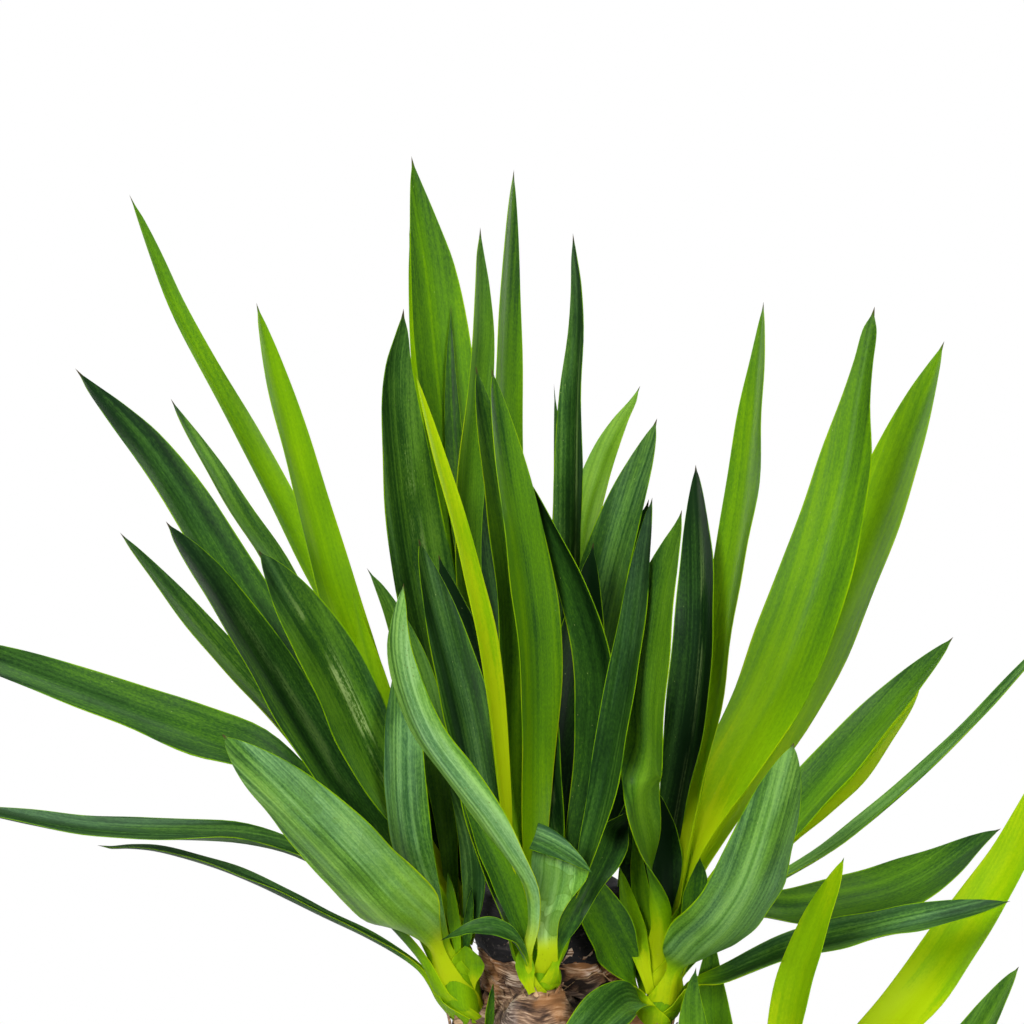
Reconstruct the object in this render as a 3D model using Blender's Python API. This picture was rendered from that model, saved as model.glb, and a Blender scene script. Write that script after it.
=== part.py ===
"""Potted yucca: two cut canes in a plain clay pot, with side shoots of long sword leaves.

Metres, +Z up. The origin is the middle of the pot's flat underside, and -Y is the front.
Every leaf is a solid of its own: four-cornered sections (two thin edges, the trough of the
upper face and the keel below it) strung on a curve from the shoot's stem to a sharp tip.
"""

import itertools
import math

import bmesh
import bpy
from mathutils import Vector
from mathutils.bvhtree import BVHTree

MM = 0.001
GAP = 0.0003

# Pot: plain tapered clay with a rolled rim and drain holes off its centre.
POT_HEIGHT = 0.190
POT_FOOT_RADIUS = 0.084
POT_TOP_RADIUS = 0.114
POT_RIM_RADIUS = 0.121
POT_RIM_HEIGHT = 0.034
POT_WALL = 0.007
POT_FLOOR = 0.009
POT_SIDES = 48
DRAIN_RADIUS = 0.007
DRAIN_CIRCLE = 0.045
DRAIN_COUNT = 4

# Soil: fills the pot to a finger's width below its rim.
SOIL_TOP = 0.166
SOIL_CROWN = 0.004

# Canes: lengths of trunk sawn off above and sealed with wax.
TALL_CANE = {"foot": (-0.028, 0.0, 0.050), "top": (-0.030, 0.0, 0.462), "radii": (0.043, 0.0365)}
SHORT_CANE = {"foot": (0.052, 0.024, 0.062), "top": (0.049, 0.020, 0.318), "radii": (0.029, 0.026)}
CANE_SIDES = 20
CANE_RINGS = 13
WAX_THICKNESS = 0.0016
WAX_DEPTH = {"tall": 0.036, "short": 0.026}

# Shoots: where each one's crown stands, and the cane that it grows from.
CROWNS = {
    "left": (Vector((-0.078, -0.022, 0.425)), TALL_CANE),
    "centre": (Vector((-0.035, -0.056, 0.425)), TALL_CANE),
    "right": (Vector((0.025, -0.016, 0.415)), TALL_CANE),
    "back": (Vector((-0.040, 0.060, 0.430)), TALL_CANE),
    "lower": (Vector((0.080, -0.010, 0.285)), SHORT_CANE),
}
STEM_RADIUS = 0.0085
STEM_TIP_RADIUS = 0.0050
STEM_DROP = 0.034
STEM_RISE = 0.046
STEM_SIDES = 10

# Leaves: stations along the blade, and how wide and thick it is there.
STATIONS = (0.0, 0.04, 0.09, 0.16, 0.25, 0.35, 0.45, 0.55, 0.65, 0.75, 0.84, 0.91, 0.96)
NECK_SHARE = 0.31
CLASP_SHARE = 0.12
WIDEST_AT = 0.50
TAPER = 2.1
TROUGH = 0.16
KEEL_AT_BASE = 0.0034
KEEL_AT_TIP = 0.0009
CLASP_FADES_BY = 0.30

# Feet: where a shoot's first and last leaves stand beside its stem, and how they leave it.
LOWEST_LEAF = -0.012
HIGHEST_LEAF = 0.040
FOOT_CLEARANCE = 0.005
NECK_LENGTH = 0.022
NECK_CLIMB = 0.7
NECK_LEAN = 0.25

# Room: how far a leaf may give way to those already there, and what each way costs it. It swings
# back and a little down or forward and a little up, its foot turns round the stem or slides
# along it, and its blade twists.
SWING_WAY = Vector((0.0, 1.0, -0.17))
SWINGS = (0.004, 12, 1.0)
FOOT_TURNS = (math.radians(15), 5, 0.35)
FOOT_SLIDES = (0.003, 3, 0.35)
TWISTS = (math.radians(10), 1, 1.2)

# One row a leaf, outermost first: (a point halfway, the tip) from the shoot's crown and the
# blade's greatest width, all in millimetres, and how far the upper face turns to the front.
# A leaf that bends twice has several points on its way in place of the one halfway.
LEAVES = {
    "left": [
        ((-99, 10, 43), (-182, 20, 58), 14, 0),
        ((-80, -5, 63), (-254, -20, 85), 28, 8),
        ((-54, -75, 80), (-108, -130, 150), 40, -80),
        ((-104, -30, 117), (-260, -40, 175), 31, 45),
        ((-23, -40, 88), (-25, -50, 180), 25, -60),
        ((-121, 55, 155), (-173, 75, 209), 28, 23),
        ((-96, -25, 166), (-139, -55, 238), 34, 40),
        ((-108, 80, 212), (-150, 125, 271), 27, 22),
        ((-119, 30, 209), (-191, 40, 299), 35, 40),
        ((-54, -55, 158), (-91, -115, 235), 37, 45),
        ((-61, 45, 180), (-103, 95, 325), 31, 38),
        ((-48, 62, 142), (-173, 160, 374), 20, 50),
    ],
    "centre": [
        ((6, -20, 45), (2, -40, 85), 31, -85),
        ((20, -9, 50), (46, 16, 88), 24, 50),
        (((-4, -26, 50), (-26, -48, 100), (-55, -68, 147), (-67, -88, 189)), (-65, -105, 224), 27, -45),
        ((-36, 15, 133), (-61, 20, 222), 33, 45),
        ((37, -15, 150), (52, -40, 253), 22, 40),
        ((25, 25, 155), (-9, 50, 250), 31, 38),
        ((-26, -20, 177), (-61, -35, 313), 18, 28),
        ((-1, 20, 170), (-25, 40, 304), 35, 38),
        ((-13, 50, 160), (-26, 65, 253), 35, 60),
        ((-11, 40, 187), (-33, 60, 302), 29, 50),
    ],
    "right": [
        ((-33, -60, -1), (-58, -85, -22), 26, 40),
        ((-28, -29, 40), (-47, -28, 72), 26, 60),
        ((99, -15, 34), (174, -20, 48), 30, 18),
        ((37, -70, 67), (59, -110, 150), 37, -75),
        ((95, 35, 33), (176, 45, 69), 33, 25),
        ((98, -45, 95), (197, -90, 213), 12, 15),
        ((96, 34, 98), (134, 42, 147), 32, 45),
        ((101, 8, 128), (146, 8, 177), 28, 38),
        ((-11, -50, 140), (6, -85, 258), 28, 35),
        ((82, 85, 152), (153, 150, 307), 37, 45),
        ((75, 50, 193), (111, 90, 333), 43, 70),
        ((17, 45, 169), (20, 95, 250), 30, 42),
        ((37, 60, 201), (56, 125, 331), 27, 32),
    ],
    "back": [
        ((30, 60, 190), (60, 150, 257), 22, 55),
        ((40, -15, 146), (60, -10, 222), 29, 50),
        ((37, -10, 185), (64, 0, 262), 36, 50),
        ((-61, -5, 208), (-65, -10, 320), 37, 55),
        ((-31, -15, 192), (-26, -15, 362), 28, 38),
        ((21, 20, 215), (22, 75, 349), 24, 33),
        ((-38, 40, 222), (-63, 90, 388), 33, 60),
        ((-11, 50, 221), (-9, 110, 379), 27, 33),
    ],
    "lower": [
        ((-10, -70, 60), (-20, -140, 80), 32, -20),
        ((50, 80, 60), (90, 150, 70), 34, 20),
        ((92, -20, 96), (124, -25, 144), 31, 28),
        ((7, -20, 126), (33, -35, 205), 27, 35),
        ((92, 20, 136), (150, 30, 248), 28, 48),
    ],
}
SPROUT_FOOT = Vector((-0.0605, -0.030, 0.372))
SPROUT_MIDDLE = Vector((-0.001, -0.006, 0.024))
SPROUT_TIP = Vector((0.001, -0.004, 0.048))
SPROUT_WIDTH = 0.005
SPROUT_TURN = 1.2
SPROUT_INWARD = Vector((0.6, 0.8, 0.0))

COLOURS = {
    "clay": ((0.53, 0.25, 0.15), 0.85),
    "soil": ((0.05, 0.032, 0.022), 0.95),
    "bark": ((0.33, 0.24, 0.17), 0.90),
    "wax": ((0.07, 0.065, 0.06), 0.45),
    "stem": ((0.52, 0.62, 0.16), 0.50),
    "leaf": ((0.10, 0.27, 0.05), 0.42),
}


def clear_scene():
    """Remove every object that the file opened with."""
    for obj in list(bpy.data.objects):
        bpy.data.objects.remove(obj, do_unlink=True)


def finish(name):
    """A plain material with one of the part's colours."""
    colour, roughness = COLOURS[name]
    material = bpy.data.materials.get(name) or bpy.data.materials.new(name)
    material.use_nodes = True
    shader = material.node_tree.nodes["Principled BSDF"]
    shader.inputs["Base Color"].default_value = (*colour, 1.0)
    shader.inputs["Roughness"].default_value = roughness
    shader.inputs["Metallic"].default_value = 0.0
    return material


def add_object(name, shape, finish_name):
    """Turn a bmesh into a named object of one closed, outward-facing mesh."""
    bmesh.ops.recalc_face_normals(shape, faces=shape.faces)
    mesh = bpy.data.meshes.new(name)
    shape.to_mesh(mesh)
    shape.free()
    mesh.materials.append(finish(finish_name))
    mesh.shade_smooth()
    mesh.set_sharp_from_angle(angle=math.radians(35))
    obj = bpy.data.objects.new(name, mesh)
    bpy.context.scene.collection.objects.link(obj)
    return obj


def cut(obj, cutter):
    """Subtract one object from another with a Boolean that stays on the object."""
    cutter.hide_render = True
    cutter.display_type = "WIRE"
    modifier = obj.modifiers.new("cut_" + cutter.name, "BOOLEAN")
    modifier.operation = "DIFFERENCE"
    modifier.solver = "EXACT"
    modifier.object = cutter


def loft(rings, start_apex=None, end_apex=None):
    """Skin a list of rings of equal length, closing each end with a point or a flat cap."""
    shape = bmesh.new()
    rows = [[shape.verts.new(point) for point in ring] for ring in rings]
    count = len(rows[0])
    for below, above in zip(rows, rows[1:]):
        for i in range(count):
            j = (i + 1) % count
            shape.faces.new((below[i], below[j], above[j], above[i]))
    for row, apex in ((rows[0], start_apex), (rows[-1], end_apex)):
        if apex is None:
            shape.faces.new(row)
            continue
        point = shape.verts.new(apex)
        for i in range(count):
            shape.faces.new((row[i], row[(i + 1) % count], point))
    return shape


def turned(profile, sides, centre=(0.0, 0.0)):
    """Turn a profile of (radius, height) about Z. Both its ends lie on the axis."""
    rings = []
    for radius, height in profile[1:-1]:
        turns = [2.0 * math.pi * i / sides for i in range(sides)]
        rings.append([
            (centre[0] + radius * math.cos(a), centre[1] + radius * math.sin(a), height) for a in turns
        ])
    first = (centre[0], centre[1], profile[0][1])
    last = (centre[0], centre[1], profile[-1][1])
    return loft(rings, first, last)


def pot_radius(height):
    """The pot's outer radius below the rim."""
    return POT_FOOT_RADIUS + (POT_TOP_RADIUS - POT_FOOT_RADIUS) * height / POT_HEIGHT


def make_pot():
    """A turned clay pot, open above, with drain holes through its floor."""
    rim_foot = POT_HEIGHT - POT_RIM_HEIGHT
    profile = [
        (0.0, 0.0),
        (POT_FOOT_RADIUS - 0.002, 0.0),
        (POT_FOOT_RADIUS, 0.002),
        (pot_radius(rim_foot), rim_foot),
        (POT_RIM_RADIUS - 0.002, rim_foot + 0.001),
        (POT_RIM_RADIUS - 0.001, rim_foot + 0.004),
        (POT_RIM_RADIUS, POT_HEIGHT - 0.003),
        (POT_RIM_RADIUS - 0.003, POT_HEIGHT),
        (POT_TOP_RADIUS - POT_WALL + 0.002, POT_HEIGHT),
        (POT_TOP_RADIUS - POT_WALL, POT_HEIGHT - 0.003),
        (pot_radius(POT_FLOOR) - POT_WALL, POT_FLOOR + 0.004),
        (pot_radius(POT_FLOOR) - POT_WALL - 0.004, POT_FLOOR),
        (0.0, POT_FLOOR),
    ]
    pot = add_object("pot", turned(profile, POT_SIDES), "clay")
    for i in range(DRAIN_COUNT):
        angle = 2.0 * math.pi * (i + 0.5) / DRAIN_COUNT
        centre = (DRAIN_CIRCLE * math.cos(angle), DRAIN_CIRCLE * math.sin(angle))
        bore = [(0.0, -0.01), (DRAIN_RADIUS, -0.01), (DRAIN_RADIUS, 0.03), (0.0, 0.03)]
        cut(pot, add_object(f"drain_cutter_{i + 1}", turned(bore, 12, centre), "clay"))
    return pot


def cane_radius(cane, share, angle):
    """A cane's radius: tapered, with a slight oval and three low ribs that wind round it."""
    low, high = cane["radii"]
    plain = low + (high - low) * share
    wobble = 0.022 * math.cos(2.0 * angle + 1.3) + 0.012 * math.cos(3.0 * angle + 4.0 * share)
    return plain * (1.0 + wobble + 0.010 * math.sin(9.0 * share))


def cane_ring(cane, share, grow=0.0, shrink=0.0):
    """A section of a cane, at a share of its height, grown by a thickness or drawn in."""
    foot, top = Vector(cane["foot"]), Vector(cane["top"])
    centre = foot.lerp(top, share)
    ring = []
    for i in range(CANE_SIDES):
        angle = 2.0 * math.pi * i / CANE_SIDES
        radius = cane_radius(cane, share, angle) + grow - shrink
        ring.append(centre + Vector((radius * math.cos(angle), radius * math.sin(angle), 0.0)))
    return ring


def lifted(ring, height):
    return [Vector((point[0], point[1], height)) for point in ring]


def cane_shape(cane, grow=0.0):
    """A sawn length of trunk with eased ends, or the pocket it needs when grown by a gap."""
    rings = [lifted(cane_ring(cane, 0.0, grow, 0.004), cane["foot"][2] - grow)]
    for i in range(CANE_RINGS):
        rings.append(cane_ring(cane, (i + 0.25) / (CANE_RINGS - 0.25), grow))
    rings.append(lifted(cane_ring(cane, 1.0, grow, 0.003), cane["top"][2] + grow))
    return loft(rings)


def make_cane(name, cane):
    return add_object(name, cane_shape(cane), "bark")


def make_wax(name, cane, depth):
    """The wax seal: an upturned cup over the sawn end, a hair clear of the wood."""
    top = cane["top"][2]
    length = top - cane["foot"][2]
    edge_share = 1.0 - depth / length
    inner, outer = GAP, GAP + WAX_THICKNESS
    rings = [
        lifted(cane_ring(cane, 1.0, inner, 0.002), top + inner),
        cane_ring(cane, 1.0 - 0.004 / length, inner + 0.0012),
        cane_ring(cane, 1.0 - 0.5 * depth / length, inner + 0.0012),
        cane_ring(cane, edge_share, inner + 0.0008),
        cane_ring(cane, edge_share - 0.001 / length, outer),
        cane_ring(cane, 1.0 - 0.5 * depth / length, outer + 0.0012),
        cane_ring(cane, 1.0 - 0.003 / length, outer + 0.0010),
        lifted(cane_ring(cane, 1.0, outer, 0.0025), top + outer),
    ]
    return add_object(name, loft(rings), "wax")


def make_soil(canes):
    """A slightly crowned plug of potting mix with a pocket for each cane."""
    low, high = POT_FLOOR + GAP, SOIL_TOP
    foot = pot_radius(POT_FLOOR) - POT_WALL - 0.004 - GAP
    wall = POT_WALL + GAP * 1.5
    profile = [
        (0.0, low),
        (foot, low),
        (pot_radius(low + 0.004) - wall - 0.0008, low + 0.004),
        (pot_radius(high * 0.5) - wall, high * 0.5),
        (pot_radius(high) - wall, high),
        (pot_radius(high) * 0.55, high + SOIL_CROWN),
        (0.0, high + SOIL_CROWN),
    ]
    soil = add_object("soil", turned(profile, POT_SIDES), "soil")
    for name, cane in canes.items():
        cut(soil, add_object(f"{name}_pocket", cane_shape(cane, GAP), "soil"))
    return soil


def smooth_curve(points, samples=96):
    """Points along a centripetal Catmull-Rom curve, evenly spaced by length."""
    ends = [points[0] * 2.0 - points[1], *points, points[-1] * 2.0 - points[-2]]
    dense = []
    for p0, p1, p2, p3 in zip(ends, ends[1:], ends[2:], ends[3:]):
        t1 = math.sqrt((p1 - p0).length)
        t2 = t1 + math.sqrt((p2 - p1).length)
        t3 = t2 + math.sqrt((p3 - p2).length)
        for i in range(24):
            t = t1 + (t2 - t1) * i / 24
            a1 = p0.lerp(p1, t / t1)
            a2 = p1.lerp(p2, (t - t1) / (t2 - t1))
            a3 = p2.lerp(p3, (t - t2) / (t3 - t2))
            b1 = a1.lerp(a2, t / t2)
            b2 = a2.lerp(a3, (t - t1) / (t3 - t1))
            dense.append(b1.lerp(b2, (t - t1) / (t2 - t1)))
    dense.append(points[-1].copy())
    reach = [0.0]
    for before, after in zip(dense, dense[1:]):
        reach.append(reach[-1] + (after - before).length)
    even, k = [], 0
    for i in range(samples):
        target = reach[-1] * i / (samples - 1)
        while k < len(reach) - 2 and reach[k + 1] < target:
            k += 1
        share = (target - reach[k]) / (reach[k + 1] - reach[k])
        even.append(dense[k].lerp(dense[k + 1], share))
    return even


def at(curve, share):
    """The point and the direction of a curve at a share of its length."""
    place = share * (len(curve) - 1)
    k = min(int(place), len(curve) - 2)
    ahead = (curve[min(k + 2, len(curve) - 1)] - curve[max(k - 1, 0)]).normalized()
    return curve[k].lerp(curve[k + 1], place - k), ahead


def make_stem(name, crown, cane):
    """A shoot's stem: out of the cane's side, then up through its leaves to a blunt tip."""
    height = (crown.z - STEM_DROP - cane["foot"][2]) / (cane["top"][2] - cane["foot"][2])
    axis = Vector(cane["foot"]).lerp(Vector(cane["top"]), height)
    outward = Vector((crown.x - axis.x, crown.y - axis.y, 0.0))
    angle = math.atan2(outward.y, outward.x)
    reach = cane_radius(cane, height, angle) + 0.0012
    outward.normalize()
    start = axis + outward * reach
    bend = Vector((crown.x, crown.y, crown.z - STEM_DROP * 0.45)) - outward * 0.001
    curve = smooth_curve([start, bend, crown, crown + Vector((0.0, 0.0, STEM_RISE))], 40)
    rings = []
    for share in (0.0, 0.12, 0.24, 0.36, 0.48, 0.6, 0.72, 0.84, 0.95):
        centre, ahead = at(curve, share)
        if share == 0.0:
            ahead = outward
        side = ahead.cross(Vector((-outward.y, outward.x, 0.0))).normalized()
        across = ahead.cross(side).normalized()
        radius = STEM_RADIUS + (STEM_TIP_RADIUS - STEM_RADIUS) * max(0.0, (share - 0.45) / 0.55)
        turns = [2.0 * math.pi * i / STEM_SIDES for i in range(STEM_SIDES)]
        rings.append([centre + (side * math.cos(a) + across * math.sin(a)) * radius for a in turns])
    return add_object(name, loft(rings, None, curve[-1]), "stem")


def blade_share(t):
    """The blade's width at a share of its length: clasping foot, narrow neck, long taper."""
    if t < WIDEST_AT:
        rise = min(1.0, max(0.0, (t - 0.05) / (WIDEST_AT - 0.05)))
        rise = rise * rise * (3.0 - 2.0 * rise)
        clasp = CLASP_SHARE * max(0.0, 1.0 - t / 0.09) ** 2
        return NECK_SHARE + clasp + (1.0 - NECK_SHARE) * rise ** 0.8
    return 1.0 - ((t - WIDEST_AT) / (1.0 - WIDEST_AT)) ** TAPER


def leaf_shape(points, width, turn, inward):
    """A leaf: sections of left edge, trough, right edge and keel, closed by a sharp tip."""
    curve = smooth_curve(points)
    front = Vector((0.0, -1.0, 0.0))
    rings = []
    for t in STATIONS:
        centre, ahead = at(curve, t)
        level = front.cross(ahead).normalized()
        if level.dot(inward + Vector((0.0, 0.0, 0.6))) < 0.0:
            level.negate()
        facing = (front - ahead * front.dot(ahead)).normalized()
        turned_up = level * math.cos(turn) + facing * math.sin(turn)
        clasping = (inward - ahead * inward.dot(ahead)).normalized()
        blend = min(1.0, t / CLASP_FADES_BY)
        blend = blend * blend * (3.0 - 2.0 * blend)
        up = clasping.lerp(turned_up, blend)
        up = (up - ahead * up.dot(ahead)).normalized()
        side = ahead.cross(up).normalized()
        half = 0.5 * width * blade_share(t)
        keel = KEEL_AT_BASE + (KEEL_AT_TIP - KEEL_AT_BASE) * t ** 0.35
        trough = centre - up * (2.0 * half * TROUGH)
        rings.append([centre - side * half, trough, centre + side * half, trough - up * keel])
    shape = loft(rings[::-1], curve[-1], None)
    bmesh.ops.triangulate(shape, faces=shape.faces, quad_method="SHORT_EDGE")
    return shape


def tree_of(obj):
    """A search tree of an object's mesh, for testing what touches it."""
    shape = bmesh.new()
    shape.from_mesh(obj.data)
    tree = BVHTree.FromBMesh(shape, epsilon=GAP)
    shape.free()
    return tree


def steps(size, most, cost):
    """Every step either way, as (amount, cost)."""
    return [(size * i, cost * abs(i)) for i in range(-most, most + 1)]


def ways_to_give():
    """All the ways in which a leaf may give way, the least trouble first."""
    choices = itertools.product(steps(*SWINGS), steps(*FOOT_TURNS), steps(*FOOT_SLIDES), steps(*TWISTS))
    priced = [(sum(cost for _, cost in way), tuple(amount for amount, _ in way)) for way in choices]
    return [way for _, way in sorted(priced)]


def grow_leaf(name, crown, row, rise, taken, ways):
    """Grow one leaf past those that are there, giving way as little as it can."""
    way = row[0] if isinstance(row[0][0], tuple) else (row[0],)
    tip, width, turn = Vector(row[1]) * MM, row[2] * MM, math.radians(row[3])
    touched = next(iter(taken.values()))
    for swing, foot_turn, slide, twist in ways:
        points = [crown + Vector(point) * MM + SWING_WAY * swing for point in way]
        points.append(crown + tip + SWING_WAY * (2.0 * swing))
        passing = points[0]
        angle = math.atan2(passing.y - crown.y, passing.x - crown.x) + foot_turn
        heading = Vector((math.cos(angle), math.sin(angle), 0.0))
        foot = crown + Vector((0.0, 0.0, rise + slide)) + heading * (STEM_RADIUS + FOOT_CLEARANCE)
        climb = (passing - foot).normalized() + Vector((0.0, 0.0, NECK_CLIMB)) + heading * NECK_LEAN
        neck = foot + climb.normalized() * NECK_LENGTH
        shape = leaf_shape([foot, neck, *points], width, turn + twist, -heading)
        tree = BVHTree.FromBMesh(shape, epsilon=GAP)
        if not tree.overlap(touched):
            touched = next((other for other in taken.values() if tree.overlap(other)), None)
            if touched is None:
                moves = (swing / MM, math.degrees(foot_turn), slide / MM, math.degrees(twist))
                print(name, "gave way by", [round(move) for move in moves])
                taken[name] = tree
                return add_object(name, shape, "leaf")
        shape.free()
    print(name, "found NO ROOM")
    return None


def main():
    clear_scene()
    make_pot()
    tall = make_cane("tall_cane", TALL_CANE)
    short = make_cane("short_cane", SHORT_CANE)
    make_soil({"tall_cane": TALL_CANE, "short_cane": SHORT_CANE})
    solids = [
        tall,
        short,
        make_wax("tall_cane_wax", TALL_CANE, WAX_DEPTH["tall"]),
        make_wax("short_cane_wax", SHORT_CANE, WAX_DEPTH["short"]),
    ]
    for shoot, (crown, cane) in CROWNS.items():
        solids.append(make_stem(f"{shoot}_shoot_stem", crown, cane))
    taken = {obj.name: tree_of(obj) for obj in solids}

    points = [SPROUT_FOOT + way for way in (Vector(), SPROUT_MIDDLE * 0.4, SPROUT_MIDDLE, SPROUT_TIP)]
    sprout = leaf_shape(points, SPROUT_WIDTH, SPROUT_TURN, SPROUT_INWARD)
    taken["bud_sprout"] = BVHTree.FromBMesh(sprout, epsilon=GAP)
    add_object("bud_sprout", sprout, "stem")

    ways = ways_to_give()
    for shoot, rows in LEAVES.items():
        crown = CROWNS[shoot][0]
        for i, row in enumerate(rows):
            rise = LOWEST_LEAF + (HIGHEST_LEAF - LOWEST_LEAF) * i / (len(rows) - 1)
            grow_leaf(f"{shoot}_leaf_{i + 1:02d}", crown, row, rise, taken, ways)


main()
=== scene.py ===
# %% [markdown]
# # A potted yucca
# A yucca in a pot is a length of trunk that was sawn off, sealed with wax and rooted. Shoots
# break out of its bark under the cut, and each one carries a rosette of stiff sword leaves.
# A part like this can be looked at from any side, so every leaf is real geometry. The solid
# model already says where each leaf, cane and wall is. It is loaded first and never moved:
# each piece below is built finer over the solid that it stands for.

# %% Load the solid model
import math
import random
from itertools import combinations
from types import SimpleNamespace

import bmesh
import bpy
from mathutils import Euler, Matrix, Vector, noise


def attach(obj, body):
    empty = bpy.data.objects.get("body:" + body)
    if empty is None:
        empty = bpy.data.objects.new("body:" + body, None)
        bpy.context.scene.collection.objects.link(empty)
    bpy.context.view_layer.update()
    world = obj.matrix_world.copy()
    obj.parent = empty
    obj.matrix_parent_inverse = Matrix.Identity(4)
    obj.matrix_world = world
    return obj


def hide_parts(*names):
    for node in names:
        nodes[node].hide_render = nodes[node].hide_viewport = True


MM = 0.001
UP = Vector((0.0, 0.0, 1.0))
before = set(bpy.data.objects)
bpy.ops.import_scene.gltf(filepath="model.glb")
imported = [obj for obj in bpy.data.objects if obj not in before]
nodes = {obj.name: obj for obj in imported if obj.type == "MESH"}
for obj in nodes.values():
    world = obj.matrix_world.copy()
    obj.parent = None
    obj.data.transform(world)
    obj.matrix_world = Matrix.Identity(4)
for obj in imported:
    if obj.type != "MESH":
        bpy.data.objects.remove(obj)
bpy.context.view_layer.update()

# %% [markdown]
# ## Shader maths as arithmetic
# A material is a tree of nodes, and wiring one by hand takes a page. A small class that wraps
# one output socket keeps it readable: `a * 2 + b` adds the Math nodes by itself. Everything
# else, such as noise, ramps and colour mixes, comes from one method, `add`.

# %% A socket that behaves like a number
class Field:
    """One output socket of a material's node tree."""

    def __init__(self, paint, socket):
        self.paint = paint
        self.socket = socket

    def maths(self, operation, *values):
        return self.paint.add("ShaderNodeMath", {"operation": operation}, dict(enumerate(values)))

    def __add__(self, other):
        return self.maths("ADD", self, other)

    __radd__ = __add__

    def __mul__(self, other):
        return self.maths("MULTIPLY", self, other)

    __rmul__ = __mul__

    def __sub__(self, other):
        return self.maths("SUBTRACT", self, other)

    def __rsub__(self, other):
        return self.maths("SUBTRACT", other, self)

    def __pow__(self, other):
        return self.maths("POWER", self, other)

    def __abs__(self):
        return self.maths("ABSOLUTE", self)

    def step(self, low, high):
        """0 below low, 1 above high and smooth between them; the other way round if high is lower."""
        rise = self.paint.add(
            "ShaderNodeMapRange",
            {"interpolation_type": "SMOOTHSTEP"},
            {"Value": self, "From Min": min(low, high), "From Max": max(low, high)},
        )
        return rise if low < high else 1.0 - rise


print("a Field adds, multiplies and steps")

# %% [markdown]
# ## One method for every node
# A node is made in the same way whatever it does: pick its type, set its options, then give
# each socket a value or a link. Doing it in one place means that a finish below reads as a list
# of what it is mixed from. The same class serves a material and the white room round the plant.


# %% A tree of nodes
class Nodes:
    """The node tree of a new material or world, and the one method that adds a node to it."""

    def __init__(self, name, library="materials"):
        self.owner = getattr(bpy.data, library).new(name)
        self.owner.use_nodes = True
        self.tree = self.owner.node_tree
        self.tree.nodes.clear()

    def add(self, kind, settings=None, inputs=None, out=0):
        node = self.tree.nodes.new(kind)
        for key, value in (settings or {}).items():
            if key == "stops":
                self.set_stops(node.color_ramp, value)
            else:
                setattr(node, key, value)
        for key, value in (inputs or {}).items():
            if isinstance(value, Field):
                self.tree.links.new(value.socket, node.inputs[key])
            else:
                node.inputs[key].default_value = value
        return Field(self, node.outputs[out]) if node.outputs else None

    @staticmethod
    def set_stops(ramp, stops):
        while len(ramp.elements) < len(stops):
            ramp.elements.new(1.0)
        for element, (position, colour) in zip(ramp.elements, stops):
            element.position = position
            element.color = (*colour, 1.0)

    def finish(self, shader, output="ShaderNodeOutputMaterial"):
        self.add(output, None, {"Surface": shader})
        return self.owner


print("a node takes a type, its settings and its sockets")


# %% The nodes that a finish is mixed from
class Paint(Nodes):
    """A material's nodes: where a point is, noise over it, and colours that follow the noise."""

    def mark(self, name, out=2):
        """A number that the mesh carries at each point, or with out=1 a vector."""
        return self.add("ShaderNodeAttribute", {"attribute_name": name}, out=out)

    def here(self):
        """The point being shaded, in metres from the middle of the pot's foot."""
        return self.add("ShaderNodeTexCoord", out=3)

    def stretched(self, place, scale):
        return self.add("ShaderNodeVectorMath", {"operation": "MULTIPLY"}, {0: place, 1: scale})

    def noise(self, place, scale, detail=3.0, rough=0.5, out=0):
        """Noise from 0 to 1, with a scale in cells a metre along each axis; a colour with out=1."""
        inputs = {"Vector": self.stretched(place, scale), "Scale": 1.0, "Detail": detail, "Roughness": rough}
        return self.add("ShaderNodeTexNoise", None, inputs, out)

    def cells(self, place, scale):
        """The distance to the nearest of many scattered points, in cells."""
        inputs = {"Vector": self.stretched(place, scale), "Scale": 1.0}
        return self.add("ShaderNodeTexVoronoi", None, inputs)

    def ramp(self, amount, stops):
        return self.add("ShaderNodeValToRGB", {"stops": stops}, {"Fac": amount})

    def blend(self, amount, first, second):
        """A colour part of the way from one colour to another."""
        first, second = [c if isinstance(c, Field) else (*c, 1.0) for c in (first, second)]
        return self.add("ShaderNodeMix", {"data_type": "RGBA"}, {0: amount, 6: first, 7: second}, out=2)

    def bump(self, height, distance, strength=1.0):
        inputs = {"Height": height, "Distance": distance, "Strength": strength}
        return self.add("ShaderNodeBump", None, inputs)

    def surface_of(self, colour, rough, normal, refraction=1.45, shine=0.5):
        """The Principled shader of a plain, non-metal surface."""
        inputs = {"Base Color": colour, "Roughness": rough, "Normal": normal}
        inputs.update({"IOR": refraction, "Specular IOR Level": shine})
        return self.add("ShaderNodeBsdfPrincipled", None, inputs)


print("a Paint marks, stretches, mixes and bumps")

# %% [markdown]
# ## From a list of points to a piece
# Every piece is a mesh from a list of points and faces. Loops and curves could be bevelled or
# skinned by modifiers instead, but direct lists give each point numbers of its own, such as how
# far along its leaf it is, and the materials read those numbers.

# %% Make a piece that stands for some solids
def volume(points, faces):
    """Six times the volume that a closed mesh's faces enclose, negative if it is inside out."""
    total = 0.0
    for face in faces:
        for i in range(1, len(face) - 1):
            total += points[face[0]].dot(points[face[i]].cross(points[face[i + 1]]))
    return total


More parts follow.
